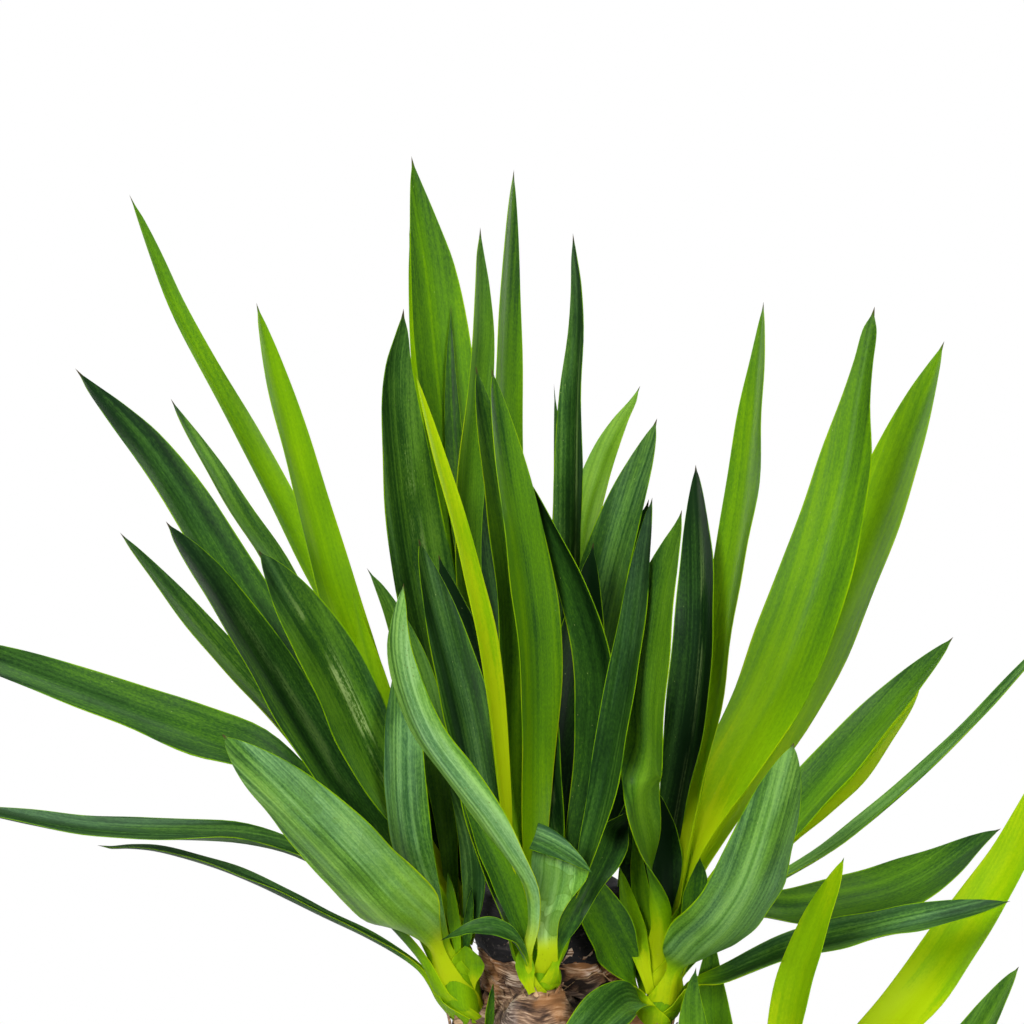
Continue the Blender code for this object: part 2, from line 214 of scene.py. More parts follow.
def put(name, points, faces, material, marks=None, replaces=(), sharp=50.0):
    """A piece from points and faces, turned right side out and riding on the one body."""
    if volume(points, faces) < 0.0:
        faces = [face[::-1] for face in faces]
    mesh = bpy.data.meshes.new(name)
    mesh.from_pydata(points, [], faces)
    for mark, values in (marks or {}).items():
        if isinstance(values[0], (tuple, Vector)):
            layer = mesh.attributes.new(mark, "FLOAT_VECTOR", "POINT")
            layer.data.foreach_set("vector", [c for value in values for c in value])
        else:
            layer = mesh.attributes.new(mark, "FLOAT", "POINT")
            layer.data.foreach_set("value", values)
    mesh.materials.append(material)
    mesh.shade_smooth()
    mesh.set_sharp_from_angle(angle=math.radians(sharp))
    piece = bpy.data.objects.new(name, mesh)
    bpy.context.scene.collection.objects.link(piece)
    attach(piece, "root")
    if replaces:
        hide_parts(*replaces)
    return piece


# %% Gather many small things into one piece
class Heap:
    """Many small closed meshes that are gathered into one piece."""

    def __init__(self):
        self.points, self.faces, self.marks = [], [], {}

    def add(self, points, faces, marks):
        start = len(self.points)
        self.points += points
        self.faces += [tuple(start + i for i in face) for face in faces]
        for name, values in marks.items():
            self.marks.setdefault(name, []).extend(values)

    def put(self, name, material, slot, replaces=(), sharp=50.0):
        return put(name, self.points, self.faces, material, self.marks, replaces, sharp)


print("a Heap makes one piece of many")

# %% [markdown]
# ## Reading a solid leaf
# A solid leaf is a row of four-cornered sections that end in a sharp tip. Stepping from corner
# to corner away from the tip finds the sections again. In each one the two corners farthest
# apart are the blade's edges, the nearer of the others is the trough of its upper face, and the
# last is the keel underneath.

# %% Find the sections of a tapered solid
def sections(solid, start):
    """A tapered solid's sections, from the end near start to the tip, as lists of corners."""
    index, corners, joined, corner_of = {}, [], [], []
    for vertex in solid.data.vertices:
        key = tuple(round(c * 1e6) for c in vertex.co)
        if key not in index:
            index[key] = len(corners)
            corners.append(vertex.co.copy())
            joined.append(set())
        corner_of.append(index[key])
    for edge in solid.data.edges:
        a, b = (corner_of[i] for i in edge.vertices)
        joined[a].add(b)
        joined[b].add(a)
    tip = max(range(len(corners)), key=lambda i: (corners[i] - start).length)
    rings, seen = [[tip]], {tip}
    while rings[-1]:
        ring = {j for i in rings[-1] for j in joined[i]} - seen
        rings.append(sorted(ring))
        seen |= ring
    return [[corners[i] for i in ring] for ring in rings[-2::-1]]


def middle_of(points):
    return sum(points, Vector()) / len(points)


SHOOTS = ("left", "centre", "right", "back", "lower")
stems = {s: sections(nodes[f"{s}_shoot_stem"], Vector((0.0, 0.0, -1.0))) for s in SHOOTS}
CROWN_SECTION = 4
crowns = {shoot: middle_of(rings[CROWN_SECTION]) for shoot, rings in stems.items()}
for shoot, rings in stems.items():
    print(shoot, "stem sections:", len(rings), "tip:", tuple(round(c, 3) for c in rings[-1][0]))

# %% A leaf section: where it is and how it lies
class Section:
    """A cut across a leaf: its middle, half its width as a vector, its upper side and its depths."""

    def __init__(self, middle, half, up, trough, keel):
        self.middle, self.half, self.up, self.trough, self.keel = middle, half, up, trough, keel

    def point(self, across):
        """A point of the upper face: a trough with a soft crease between two thin edges."""
        return self.middle + self.half * across - self.up * self.trough * (1.0 - abs(across) ** 1.4)


print("a section has two edges, a trough and a keel")

# %% [markdown]
# ## From corners to sections
# A real blade stays broad nearly to its end and then runs out in a short needle, while the
# solid tapers evenly. So the last few sections are widened as they are read.

# %% Read a leaf's sections
FULLER_END = (1.04, 1.12, 1.20, 1.22)


def read_leaf(solid, crown):
    """The sections of a solid leaf, from its foot up, and its tip."""
    rings = sections(solid, crown)
    tip = rings[-1][0]
    middles = [middle_of(ring) for ring in rings]
    cuts = []
    for ring, here, ahead in zip(rings, middles, middles[1:]):
        if len(ring) != 4:
            continue
        left, right = max(combinations(ring, 2), key=lambda pair: (pair[0] - pair[1]).length)
        middle = (left + right) / 2.0
        rest = [corner for corner in ring if corner not in (left, right)]
        trough, keel = sorted(rest, key=lambda corner: (corner - middle).length)
        up = (middle - keel).normalized()
        half = (right - left) / 2.0
        if half.dot((ahead - here).cross(up)) < 0.0:
            half.negate()
        cuts.append(Section(middle, half, up, (trough - middle).length, (keel - middle).length))
    for cut, fuller in zip(cuts[-len(FULLER_END):], FULLER_END):
        cut.half = cut.half * fuller
    return cuts, tip


sample, _ = read_leaf(nodes["right_leaf_11"], crowns["right"])
widest = max(2.0 * cut.half.length for cut in sample)
print("right_leaf_11:", len(sample), "sections, widest", round(widest / MM), "mm")

# %% [markdown]
# ## Building a leaf
# A yucca leaf wraps the stem with its foot, pinches to a pale neck, opens to a broad trough and
# runs out to a dry point. A flat card with an alpha picture would be quicker, but it has no
# edge, no keel and no foot. Here smooth columns run through all the sections from the sheath up,
# a second skin lies under them, and both meet in a thin margin.

# %% Smooth columns through a few sections
STRIPS = 14
ACROSS = [math.sin(math.pi * (i / STRIPS - 0.5)) for i in range(STRIPS + 1)]


def smooth_rows(rows, counts):
    """Rows of points with more rows between them, on smooth curves; counts says how many."""
    places = [0.0]
    for below, above in zip(rows, rows[1:]):
        places.append(places[-1] + max(1e-5, (middle_of(above) - middle_of(below)).length))
    last = len(rows) - 1
    slopes = []
    for k in range(len(rows)):
        a, b = max(0, k - 1), min(last, k + 1)
        span = places[b] - places[a]
        slopes.append([(after - before) / span for before, after in zip(rows[a], rows[b])])
    fine = []
    for k, count in enumerate(counts):
        span = places[k + 1] - places[k]
        for i in range(count):
            t = i / count
            start, leave = 2 * t**3 - 3 * t**2 + 1, (t**3 - 2 * t**2 + t) * span
            end, arrive = 3 * t**2 - 2 * t**3, (t**3 - t**2) * span
            corners = zip(rows[k], rows[k + 1], slopes[k], slopes[k + 1])
            fine.append([p * start + q * end + u * leave + v * arrive for p, q, u, v in corners])
    fine.append(list(rows[-1]))
    return fine


print("columns across a blade:", len(ACROSS))

# %% [markdown]
# ## The sheath
# Under its neck a leaf widens again and wraps nearly all the way round the stem. The wrap is
# a few arcs round the stem's own middle line: deep ones turn almost a full circle, and higher
# ones open until the blade takes over.

# %% The sheath: where a leaf wraps its stem
SHEATH_DEPTHS = (24 * MM, 19 * MM, 13.5 * MM, 8 * MM, 3.5 * MM)
SHEATH_TURNS = (1.95, 2.0, 1.8, 1.35, 0.95)
SHEATH_GROWTH = (-1.2 * MM, 0.2 * MM, 0.5 * MM, 1.0 * MM, 2.0 * MM)
SHEATH_FLARE = 1.2 * MM


def stem_axis(shoot, height):
    """The middle of a shoot's stem at a height."""
    middles = [middle_of(ring) for ring in stems[shoot]]
    for below, above in zip(middles, middles[1:]):
        if above.z >= height:
            share = max(0.0, (height - below.z) / max(1e-6, above.z - below.z))
            return below.lerp(above, min(1.0, share))
    return Vector((middles[-1].x, middles[-1].y, height))


def sheath_rows(shoot, foot, radius, shorter=1.0):
    """Rows of points that wrap the stem under a leaf's first section, lowest first."""
    outward = foot.middle - stem_axis(shoot, foot.middle.z)
    outward.z = 0.0
    outward.normalize()
    sideways = foot.half - outward * foot.half.dot(outward)
    sideways.z = 0.0
    sideways.normalize()
    rows = []
    for depth, turn, growth in zip(SHEATH_DEPTHS, SHEATH_TURNS, SHEATH_GROWTH):
        height = foot.middle.z - depth * shorter
        axis = stem_axis(shoot, height)
        axis.z = height
        row = []
        for across in ACROSS:
            angle = across * turn
            spread = radius + growth + SHEATH_FLARE * abs(across) ** 4
            row.append(axis + outward * math.cos(angle) * spread + sideways * math.sin(angle) * spread)
        rows.append(row)
    return rows


print("a sheath reaches", round(SHEATH_DEPTHS[0] / MM), "mm down its stem")

# %% [markdown]
# ## Two skins and a margin
# A blade is a millimetre or two thick over its keel and as thin as card at its edge. The
# upper skin is the smooth grid, moved out by slow waves along each edge, and the lower skin is
# the same grid pushed down along its normals. Every point also notes where on the leaf it is.

# %% A blade of two skins and a margin
MARGIN = 0.35 * MM
RING = 2 * (STRIPS + 1)


def skin_normals(rows):
    """The upper face's normal at every point of every row."""
    normals = []
    for k, row in enumerate(rows):
        before, after = rows[max(0, k - 1)], rows[min(len(rows) - 1, k + 1)]
        normals.append([])
        for c in range(STRIPS + 1):
            over = row[min(STRIPS, c + 1)] - row[max(0, c - 1)]
            normals[-1].append(over.cross(after[c] - before[c]).normalized())
    return normals


def ripples(phases, along, across, wave):
    """How far a blade's edge stands off its smooth line: each edge has its own slow waves."""
    swell = wave * MM * max(0.0, math.sin(math.pi * min(1.0, max(0.0, along)))) ** 0.7
    first, second = phases[0 if across < 0.0 else 1]
    swing = math.sin(first + 17.0 * along) + 0.6 * math.sin(second + 31.0 * along)
    return swell * abs(across) ** 2.5 * swing


print("a margin is", MARGIN / MM, "mm thick")


# %% Faces round a blade
def band(first, count):
    """The faces between the ring of points that starts at a number and the ring after it."""
    sides = [(first + i, first + (i + 1) % count) for i in range(count)]
    return [(a, b, b + count, a + count) for a, b in sides]


def blade_faces(end):
    """Faces round rings of points up to the one end point: a flat foot, walls and a last fan."""
    faces = [(c + 1, c, RING - 1 - c, RING - 2 - c) for c in range(STRIPS)]
    for k in range(0, end - RING, RING):
        faces += band(k, RING)
    last = end - RING
    faces += [(last + c, last + (c + 1) % RING, end) for c in range(RING)]
    return faces


print("a ring round a blade has", RING, "points")

# %% Points and marks of a blade
CUT_OFF = 1.25
SEED_STEP = 0.731


def blade_mesh(rows, tip, keels, foot_row, look, wave, seed):
    """Points, faces and marks of a leaf from its upper face's rows and its thickness at each."""
    draw = random.Random(seed)
    phases = [(draw.uniform(0.0, 6.3), draw.uniform(0.0, 6.3)) for _ in range(2)]
    reach = [0.0]
    for below, above in zip(rows, rows[1:]):
        reach.append(reach[-1] + (above[STRIPS // 2] - below[STRIPS // 2]).length)
    zero = reach[foot_row]
    end = tip or rows[-1][STRIPS // 2]
    length = (reach[-1] + (end - rows[-1][STRIPS // 2]).length - zero) * (1.0 if tip else CUT_OFF)
    points, placed = [], []
    for k, (row, normals) in enumerate(zip(rows, skin_normals(rows))):
        along = (reach[k] - zero) / length
        half = (row[-1] - row[0]).length * 0.5
        upper, lower = [], []
        for point, normal, across in zip(row, normals, ACROSS):
            top = point + normal * ripples(phases, along, across, wave)
            thick = MARGIN + max(0.0, keels[k] - MARGIN) * (1.0 - abs(across) ** 1.5)
            upper.append(top)
            lower.append(top - normal * thick)
            placed.append((along, across, 0.0, (across * half, reach[k], seed * SEED_STEP)))
        points += upper + lower[::-1]
        placed += [(a, c, 1.0, place) for a, c, _, place in placed[: -STRIPS - 2 : -1]]
    points.append(end)
    placed.append((1.0 if tip else 0.8, 0.0, 0.5, (0.0, reach[-1], seed * SEED_STEP)))
    marks = dict(zip(("along", "across", "under", "place"), (list(column) for column in zip(*placed))))
    marks.update({name: [value] * len(points) for name, value in look.items()})
    return points, blade_faces(len(points) - 1), marks


def look_of(tone, bloom=0.0, streak=0.0, wet=0.0):
    """The numbers of its own that a leaf gives to the leaf finish."""
    return {"tone": tone, "bloom": bloom, "streak": streak, "wet": wet}


print("a leaf carries:", *look_of(0.5))

# %% [markdown]
# ## The whole leaf
# The rows of the sheath and of the blade go through one smooth run, with a last narrow row for
# the needle at the tip. A leaf without a tip ends at its last section: the fold starts there.

# %% A whole leaf from its sections
BLADE_STEPS = 4
SHEATH_STEPS = 2
NEEDLE_AT = 0.60
NEEDLE_WIDTH = 0.26
NEEDLE_THICK = 0.5 * MM
SHEATH_THICK = 1.2 * MM


def leaf_mesh(cuts, tip, look, wave, seed, shoot=None, radius=0.0, shorter=1.0):
    """A leaf's mesh: the sheath round a shoot's stem, if any, then the blade to the tip, if any."""
    wraps = sheath_rows(shoot, cuts[0], radius, shorter) if shoot else []
    blade = cuts[1:] if shoot else cuts
    rows = wraps + [[cut.point(across) for across in ACROSS] for cut in blade]
    keels = [SHEATH_THICK] * len(wraps) + [cut.keel - cut.trough for cut in blade]
    if tip:
        needle = cuts[-1].middle.lerp(tip, NEEDLE_AT)
        rows.append([needle + cuts[-1].half * (across * NEEDLE_WIDTH) for across in ACROSS])
        keels.append(NEEDLE_THICK)
    counts = [SHEATH_STEPS] * len(wraps) + [BLADE_STEPS] * (len(rows) - 1 - len(wraps))
    fine = smooth_rows(rows, counts)
    thick = [keels[k] + (keels[k + 1] - keels[k]) * i / n for k, n in enumerate(counts) for i in range(n)]
    thick.append(keels[-1])
    return blade_mesh(fine, tip, thick, SHEATH_STEPS * len(wraps), look, wave, seed)


print("rows in a leaf:", SHEATH_STEPS * len(SHEATH_DEPTHS) + BLADE_STEPS * 13 + 1)

# %% [markdown]
# ## The colour of a yucca leaf
# The blade is leathery. Fine parallel veins run its whole length, its thin edge and its foot
# are yellow-green where light comes through, and some leaves keep a waxy blue-grey bloom that
# rubs off in streaks. One material serves them all: each leaf carries its own tone, from deep
# blue-green to yellow, and the noise is stretched along the leaf's own length and width.

# %% What the leaf finish reads
LEAF_TONES = [
    (0.00, (0.003, 0.014, 0.003)),
    (0.20, (0.017, 0.058, 0.006)),
    (0.45, (0.066, 0.174, 0.004)),
    (0.68, (0.165, 0.340, 0.002)),
    (0.86, (0.310, 0.535, 0.004)),
    (1.00, (0.580, 0.700, 0.006)),
]
NOISES = {
    "wide": ((95.0, 2.2, 1.0), 1.0, 0.5),
    "patch": ((90.0, 22.0, 1.0), 3.0, 0.6),
    "fine": ((620.0, 5.0, 1.0), 2.0, 0.6),
    "grain": ((1400.0, 520.0, 1.0), 2.0, 0.6),
}


def leaf_reading(paint):
    """The numbers that a leaf carries at a point, and noise that is stretched along its veins."""
    at = SimpleNamespace(place=paint.mark("place", out=1))
    for name in ("along", "across", "under", "tone", "bloom", "streak", "wet"):
        setattr(at, name, paint.mark(name))
    for name, noise_settings in NOISES.items():
        setattr(at, name, paint.noise(at.place, *noise_settings))
    at.veins = at.fine * 0.75 + at.grain * 0.25
    return at


print("leaf noises:", *NOISES)

# %% [markdown]
# ### Green, and the bloom over it
# One number, the shade, picks the green from the list of tones. It starts from the leaf's own
# tone and moves with the noise. It rises at the foot and along the thin edge, rises again over
# the lower half of the paler leaves as painted glow of light coming through the blade, and falls
# toward the tip. The bloom is a second, greyer set of greens that is laid over the first where
# the leaf has kept it; its bluer patches are partly the bloom itself and partly painted sheen.


# %% Shade and bloom
def leaf_shade(at):
    """Where a point lies on the scale of tones, and how far it is a part of the thin edge."""
    edge = abs(at.across).step(0.95, 0.995) * at.patch.step(0.30, 0.50)
    foot = at.along.step(0.17, -0.03)
    shade = at.tone + (at.wide - 0.5) * 0.50 + (at.patch - 0.5) * 0.34
    shade = shade + (at.fine - 0.5) * 0.36 + (at.grain - 0.5) * 0.34
    # Painted glow: the lower half of a pale leaf is made lighter and yellower, as light coming through the
    # blade would make it.
    shade = shade + at.along.step(0.55, 0.12) * at.tone.step(0.30, 0.50) * 0.46
    shade = shade - at.along.step(0.70, 0.99) * 0.14 * at.tone.step(0.9, 0.5)
    return shade + foot * (0.86 - at.tone) + edge * (0.78 - at.tone * 0.7) - at.under * 0.05, edge


def leaf_bloom(paint, at):
    """How much bloom lies at a point, and its colour."""
    grey = at.bloom * (at.patch.step(0.30, 0.50) * 0.4 + 0.6)
    grey = grey * abs(at.across).step(1.0, 0.93) * at.along.step(0.02, 0.16)
    amount = at.veins + (at.wide - 0.5) * 0.5 + (at.patch - 0.5) * 0.45 + (at.tone - 0.46) * 0.35
    stops = [(0.33, (0.022, 0.078, 0.010)), (0.50, (0.095, 0.230, 0.030)), (0.68, (0.220, 0.410, 0.075))]
    green = paint.ramp(amount, stops)
    blue = paint.ramp(at.veins, [(0.36, (0.050, 0.140, 0.080)), (0.64, (0.230, 0.400, 0.250))])
    # Bluer patches over the bloom: partly the wax's own blue-grey and partly painted blue-grey sheen.
    bloom_and_sheen_patch = paint.noise(at.place, (60.0, 5.0, 1.0), 3.0, 0.6).step(0.42, 0.62)
    return grey, paint.blend(bloom_and_sheen_patch * 0.5, green, blue)


print("tones from", LEAF_TONES[0][1], "to", LEAF_TONES[-1][1])

# %% [markdown]
# ### Streaks, water, specks and a dry tip
# Small faults make a leaf look grown. Each is a mask of its own: a pale streak beside the
# midrib, which is a real pale rub on some leaves and painted sheen on others, a film of water
# that darkens the bloom, small brown and pale specks, and a tip that has dried.


# %% Marks on a leaf
def leaf_faults_and_sheen(paint, at, coloured):
    """The leaf's colour with every small fault over it, a pale streak that is partly a rub and partly painted
    sheen, its film of water and its dry tip.
    """
    # The pale streak beside the midrib: a real pale rub on some leaves, painted sheen on others.
    beside = abs(at.across - 0.20 + (at.wide - 0.5) * 0.5).step(0.26, 0.06)
    pale = at.streak * beside * at.veins.step(0.44, 0.54)
    pale = pale * at.patch.step(0.40, 0.56) * at.along.step(0.9, 0.6)
    coloured = paint.blend(pale, coloured, (0.26, 0.36, 0.12))
    stain = paint.noise(at.place, (70.0, 60.0, 1.0), 2.0, 0.4)
    soaked = at.wet * stain.step(0.50, 0.52) * at.along.step(0.05, 0.12) * at.along.step(0.85, 0.7)
    coloured = paint.blend(soaked * (0.55 + stain.step(0.545, 0.51) * 0.35), coloured, (0.055, 0.140, 0.010))
    speck = paint.cells(at.place, (520.0, 300.0, 1.0)).step(0.19, 0.11) * at.patch.step(0.48, 0.58) * at.bloom
    coloured = paint.blend(speck * 0.6, coloured, (0.085, 0.095, 0.014))
    spot = paint.cells(at.place, (330.0, 150.0, 1.0)).step(0.07, 0.04) * at.wide.step(0.50, 0.62)
    coloured = paint.blend(spot * 0.45, coloured, (0.42, 0.55, 0.16))
    dry = at.along.step(0.978, 0.998)
    return paint.blend(dry, coloured, (0.05, 0.030, 0.012)), soaked, dry


print("faults: streak, water, speck, spot, dry tip")

# %% [markdown]
# ### Light through the blade
# A blade held against the light glows, most of all where it is young and yellow. So part of
# the surface is a translucent shader, and its share follows the shade: pale leaves pass much
# light and dark, bloomed ones hardly any.


# %% The leaf material
def leaf_material():
    paint = Paint("yucca_leaf")
    at = leaf_reading(paint)
    shade, edge = leaf_shade(at)
    grey, bloomed = leaf_bloom(paint, at)
    coloured = paint.blend(grey, paint.ramp(shade, LEAF_TONES), bloomed)
    coloured, soaked, dry = leaf_faults_and_sheen(paint, at, coloured)
    rough = 0.42 + grey * 0.14 - soaked * 0.24 + (at.fine - 0.5) * 0.20 + dry * 0.3
    relief = paint.bump(at.fine * 0.35 + at.wide * 2.0, 0.5 * MM, 0.7)
    face = paint.surface_of(coloured, rough, relief, 1.4, 0.09)
    glow = {"Color": (0.36, 0.56, 0.004, 1.0), "Normal": relief}
    through = paint.add("ShaderNodeBsdfTranslucent", None, glow)
    share = (0.04 + shade.step(0.1, 1.0) * 0.57 + edge * 0.1) * (1.0 - grey * 0.7)
    return paint.finish(paint.add("ShaderNodeMixShader", None, {0: share, 1: face, 2: through}))


leaf_paint = leaf_material()
print("leaf material nodes:", len(leaf_paint.node_tree.nodes))

# %% [markdown]
# ## How each leaf looks
# No two leaves are the same green. Each row gives one leaf's tone, from deep blue-green (0) to
# yellow (1), its bloom, and how far its edges wave in millimetres. The tones are partly each
# leaf's own green and partly painted light: the yellowest paint the glow of light coming through
# a blade, and darker ones stand in part for the shade that a leaf lies in. The outermost leaf of
# a shoot comes first, as in the solid model. A few leaves also have a pale streak or a film of
# water.

# %% Tone, bloom and waves of every leaf
LEAF_LOOKS = {
    "left": [
        (0.12, 0.15, 0.4), (0.17, 0.30, 0.8), (0.44, 0.66, 0.8), (0.20, 0.05, 1.5), (0.34, 0.60, 0.5),
        (0.31, 0.05, 0.5), (0.19, 0.05, 0.5), (0.28, 0.20, 0.4), (0.16, 0.05, 0.6), (0.31, 0.15, 0.5),
        (0.62, 0.00, 0.5), (0.54, 0.00, 0.5),
    ],
    "centre": [
        (0.56, 0.85, 0.3), (0.14, 0.00, 0.8), (0.60, 1.00, 0.6), (0.16, 0.25, 0.5), (0.16, 0.15, 0.5),
        (0.12, 0.00, 0.5), (0.97, 0.00, 0.4), (0.38, 0.00, 0.5), (0.10, 0.05, 0.5), (0.38, 0.05, 0.5),
    ],
    "right": [
        (0.20, 0.25, 0.6), (0.24, 0.00, 0.6), (0.22, 0.35, 0.8), (0.36, 0.46, 0.8), (0.32, 0.05, 0.8),
        (0.30, 0.40, 0.4), (0.98, 0.00, 0.5), (0.36, 0.05, 0.5), (0.36, 0.10, 0.5), (0.58, 0.00, 0.6),
        (0.46, 0.00, 0.6), (0.02, 0.05, 0.5), (0.47, 0.00, 0.9),
    ],
    "back": [
        (0.66, 0.30, 0.4), (0.24, 0.10, 0.5), (0.30, 0.20, 0.6), (0.24, 0.20, 0.5), (0.42, 0.10, 0.5),
        (0.14, 0.20, 0.5), (0.36, 0.00, 0.5), (0.44, 0.00, 0.5),
    ],
    "lower": [
        (0.24, 0.20, 0.6), (0.24, 0.20, 0.6), (0.36, 0.10, 0.5), (0.89, 0.00, 0.5), (0.88, 0.00, 0.6),
    ],
}
# Pale streaks by leaf: on some leaves a real pale rub, on others painted sheen.
STREAKS_AND_SHEENS = {
    "left_leaf_06": 0.15, "left_leaf_07": 0.12, "left_leaf_10": 1.0, "centre_leaf_09": 0.4,
    "right_leaf_12": 0.3, "back_leaf_04": 0.6, "back_leaf_06": 0.3,
}
WATER = {
    "left_leaf_03": 0.35, "centre_leaf_01": 0.8,
}
print("leaves:", sum(len(looks) for looks in LEAF_LOOKS.values()))

# %% [markdown]
# ## Bending a leaf
# The solid leaves are cut at a few stations, far apart, so a finer leaf over them is too
# straight. A leaf in this table is moved a little at some shares of its length: first the
# share, then the shift sideways and up in millimetres, and last how much wider it gets there.

# %% Small bends
BENDS = {
    "left_leaf_01": [(0.45, 0.0, -1.0, 0.85), (0.86, 0.0, 4.4, 1.05)],
    "left_leaf_02": [(0.35, 0.0, 1.4, 0.62), (0.70, 0.0, -3.0, 1.1), (1.0, 0.0, 4.0, 1.1)],
    "left_leaf_03": [(0.80, 1.2, 0.6, 0.93)],
    "left_leaf_04": [(0.45, 0.0, 6.5, 0.88), (0.64, 0.0, -0.6, 0.90), (1.0, 0.0, 5.0, 1.1)],
    "left_leaf_06": [(0.45, 3.5, 2.5, 0.9), (0.78, -0.8, -0.6, 1.0)],
    "left_leaf_07": [(0.86, 2.2, 0.6, 0.9)],
    "left_leaf_08": [(0.35, 3.0, 2.5, 1.0), (0.66, 4.0, 3.0, 1.0), (0.80, 0.6, 0.5, 1.0)],
    "left_leaf_09": [(0.60, -1.2, -1.0, 0.93), (0.86, 2.6, 2.1, 1.0)],
    "left_leaf_11": [(0.35, 1.2, 0.0, 0.95), (0.70, 2.9, 0.0, 0.88)],
    "left_leaf_12": [(0.35, 0.0, 0.0, 0.88), (0.60, -1.2, -0.8, 0.80), (0.82, -3.6, -1.9, 0.72)],
    "back_leaf_01": [(0.50, -4.0, 0.0, 1.0), (0.87, -5.2, 0.0, 1.0)],
    "back_leaf_04": [(0.68, 1.5, 0.0, 1.0), (0.91, -3.0, 0.0, 1.0)],
    "back_leaf_05": [(0.50, 1.0, 0.0, 1.0), (0.85, 4.2, 0.0, 1.0)],
    "back_leaf_06": [(0.70, -2.6, 0.0, 1.1), (0.90, 1.6, 0.0, 1.0)],
    "back_leaf_07": [(0.60, 0.8, 0.0, 1.08), (0.84, 3.0, 0.0, 1.27)],
    "back_leaf_08": [(0.80, -0.4, 0.0, 1.07)],
    "right_leaf_03": [(0.18, 0.0, -8.5, 1.35), (0.42, 0.0, -1.5, 0.88)],
    "right_leaf_05": [(0.25, 0.0, 11.0, 0.9), (0.45, 0.0, 3.5, 1.1), (0.75, 0.0, -4.6, 1.4)],
    "right_leaf_06": [(0.35, -1.4, 1.4, 1.0), (0.72, 0.6, -0.6, 1.0)],
    "right_leaf_07": [(0.25, -4.0, 4.0, 0.9), (0.48, -5.8, 5.8, 0.9), (0.76, -2.8, 2.8, 0.95)],
    "right_leaf_08": [(0.50, -0.6, 0.6, 1.05)],
    "right_leaf_09": [(0.40, -1.0, 0.0, 1.3), (0.86, -3.4, 0.0, 1.45)],
    "right_leaf_10": [(0.88, -0.9, 0.6, 1.15)],
    "right_leaf_11": [
        (0.26, -3.0, 0.0, 1.08), (0.48, 1.4, 0.0, 0.94), (0.78, 2.4, 0.0, 0.80), (0.90, 0.8, 0.0, 0.52),
    ],
    "right_leaf_13": [(0.50, -3.0, 0.0, 1.0), (0.76, -0.2, 0.0, 1.12)],
    "lower_leaf_03": [(0.60, 1.5, 0.0, 0.9)],
    "lower_leaf_04": [(0.50, 1.4, 0.0, 1.0)],
    "lower_leaf_05": [(0.35, -2.4, 0.0, 1.16), (0.60, -2.2, -1.0, 1.10), (0.82, 0.4, -5.0, 1.0)],
}


def bent(share, bends):
    """The sideways and upward shift, in millimetres, and the widening at a share of a leaf."""
    before = (0.0, 0.0, 0.0, 1.0)
    for after in (*bends, (1.0, 0.0, 0.0, 1.0)):
        if after[0] >= share:
            part = (share - before[0]) / max(1e-6, after[0] - before[0])
            part = part * part * (3.0 - 2.0 * part)
            return [b + (a - b) * part for b, a in zip(before[1:], after[1:])]
        before = after
    return before[1:]


print("bent leaves:", len(BENDS), "- halfway along one:", bent(0.5, BENDS["left_leaf_11"]))

# %% [markdown]
# ## Two leaves drawn by their edges
# One leaf at the front is folded over near its top, and the one beside it turns in an S. Neither
# is a row of sections on a smooth bend, so both are given by their left and right edges, in
# millimetres from the shoot's crown. The folded leaf ends at its fold: its tip is made later.

# %% Drawn edges
FOLDED_LEAF = "centre_leaf_01"
FOLD_FACING = (0.0, -1.0, 0.3)
DRAWN_EDGES = {
    "centre_leaf_01": [
        ((-2.5, -11, 6), (7.5, -11, 6)), ((-2.5, -15, 19), (7.5, -15, 19)), ((-3, -20, 37), (8, -20, 37)),
        ((-2, -24, 49), (13.4, -24, 49)), ((-5, -28, 62), (21, -28, 60)), ((-6, -31, 72), (22.8, -31, 67)),
        ((-2.5, -32, 90), (23, -32, 66.5)),
    ],
    "centre_leaf_02": [
        ((1.5, -9, 0), (7.5, -9, 0)), ((3.9, -12, 12), (8.2, -12, 12)), ((5.5, -13, 24), (11.6, -13, 24)),
        ((8, -13, 37), (19.4, -12, 35)), ((12.5, -12, 48), (29, -6, 50)), ((17, -8, 58), (36.5, 2, 57.5)),
        ((22.5, 0, 68), (42.2, 12, 65)), ((28, 10, 77), (43, 18, 74)),
    ],
}


def drawn_cuts(crown, edges):
    """Sections of a leaf from its left and right edges, in millimetres from its crown."""
    cuts = []
    for left, right in edges:
        left, right = crown + Vector(left) * MM, crown + Vector(right) * MM
        half = (right - left) * 0.5
        front = Vector(FOLD_FACING)
        up = (front - half * (half.dot(front) / half.length_squared)).normalized()
        depth = 0.20 * half.length
        cuts.append(Section((left + right) * 0.5, half, up, depth, depth + 2.0 * MM))
    return cuts


print("drawn leaves:", *DRAWN_EDGES)

# %% [markdown]
# ## Fitting the feet together
# The solids are kept clear of each other at the stem, but real feet are packed. So each leaf's
# lowest sections move toward the stem, and each sheath is one thin layer farther out than the
# next younger one. Three leaves have a rounder base, and one stands a little farther back.

# %% Corrections to a leaf's foot
INNER_SHEATHS = {shoot: 7.0 * MM for shoot in SHOOTS}
INNER_SHEATHS.update({"left": 7.6 * MM, "centre": 4.4 * MM})
SHEATH_LAYER = 0.18 * MM
SHORT_SHEATHS = {"centre": 0.08}
ROUNDER_BASES = {
    "left_leaf_03": (0.8, 0.8, 0.8, 1.2, 1.5, 1.24),
    "right_leaf_04": (0.8, 0.8, 1.0, 1.65, 1.5, 1.18),
    "centre_leaf_03": (0.6, 0.6, 0.62, 0.62, 0.60, 0.70, 0.84, 0.94),
}
CLOSER_FEET = (0.66, 0.70, 0.78, 0.88, 0.95)
SET_BACK = {"centre_leaf_05": 5.0}


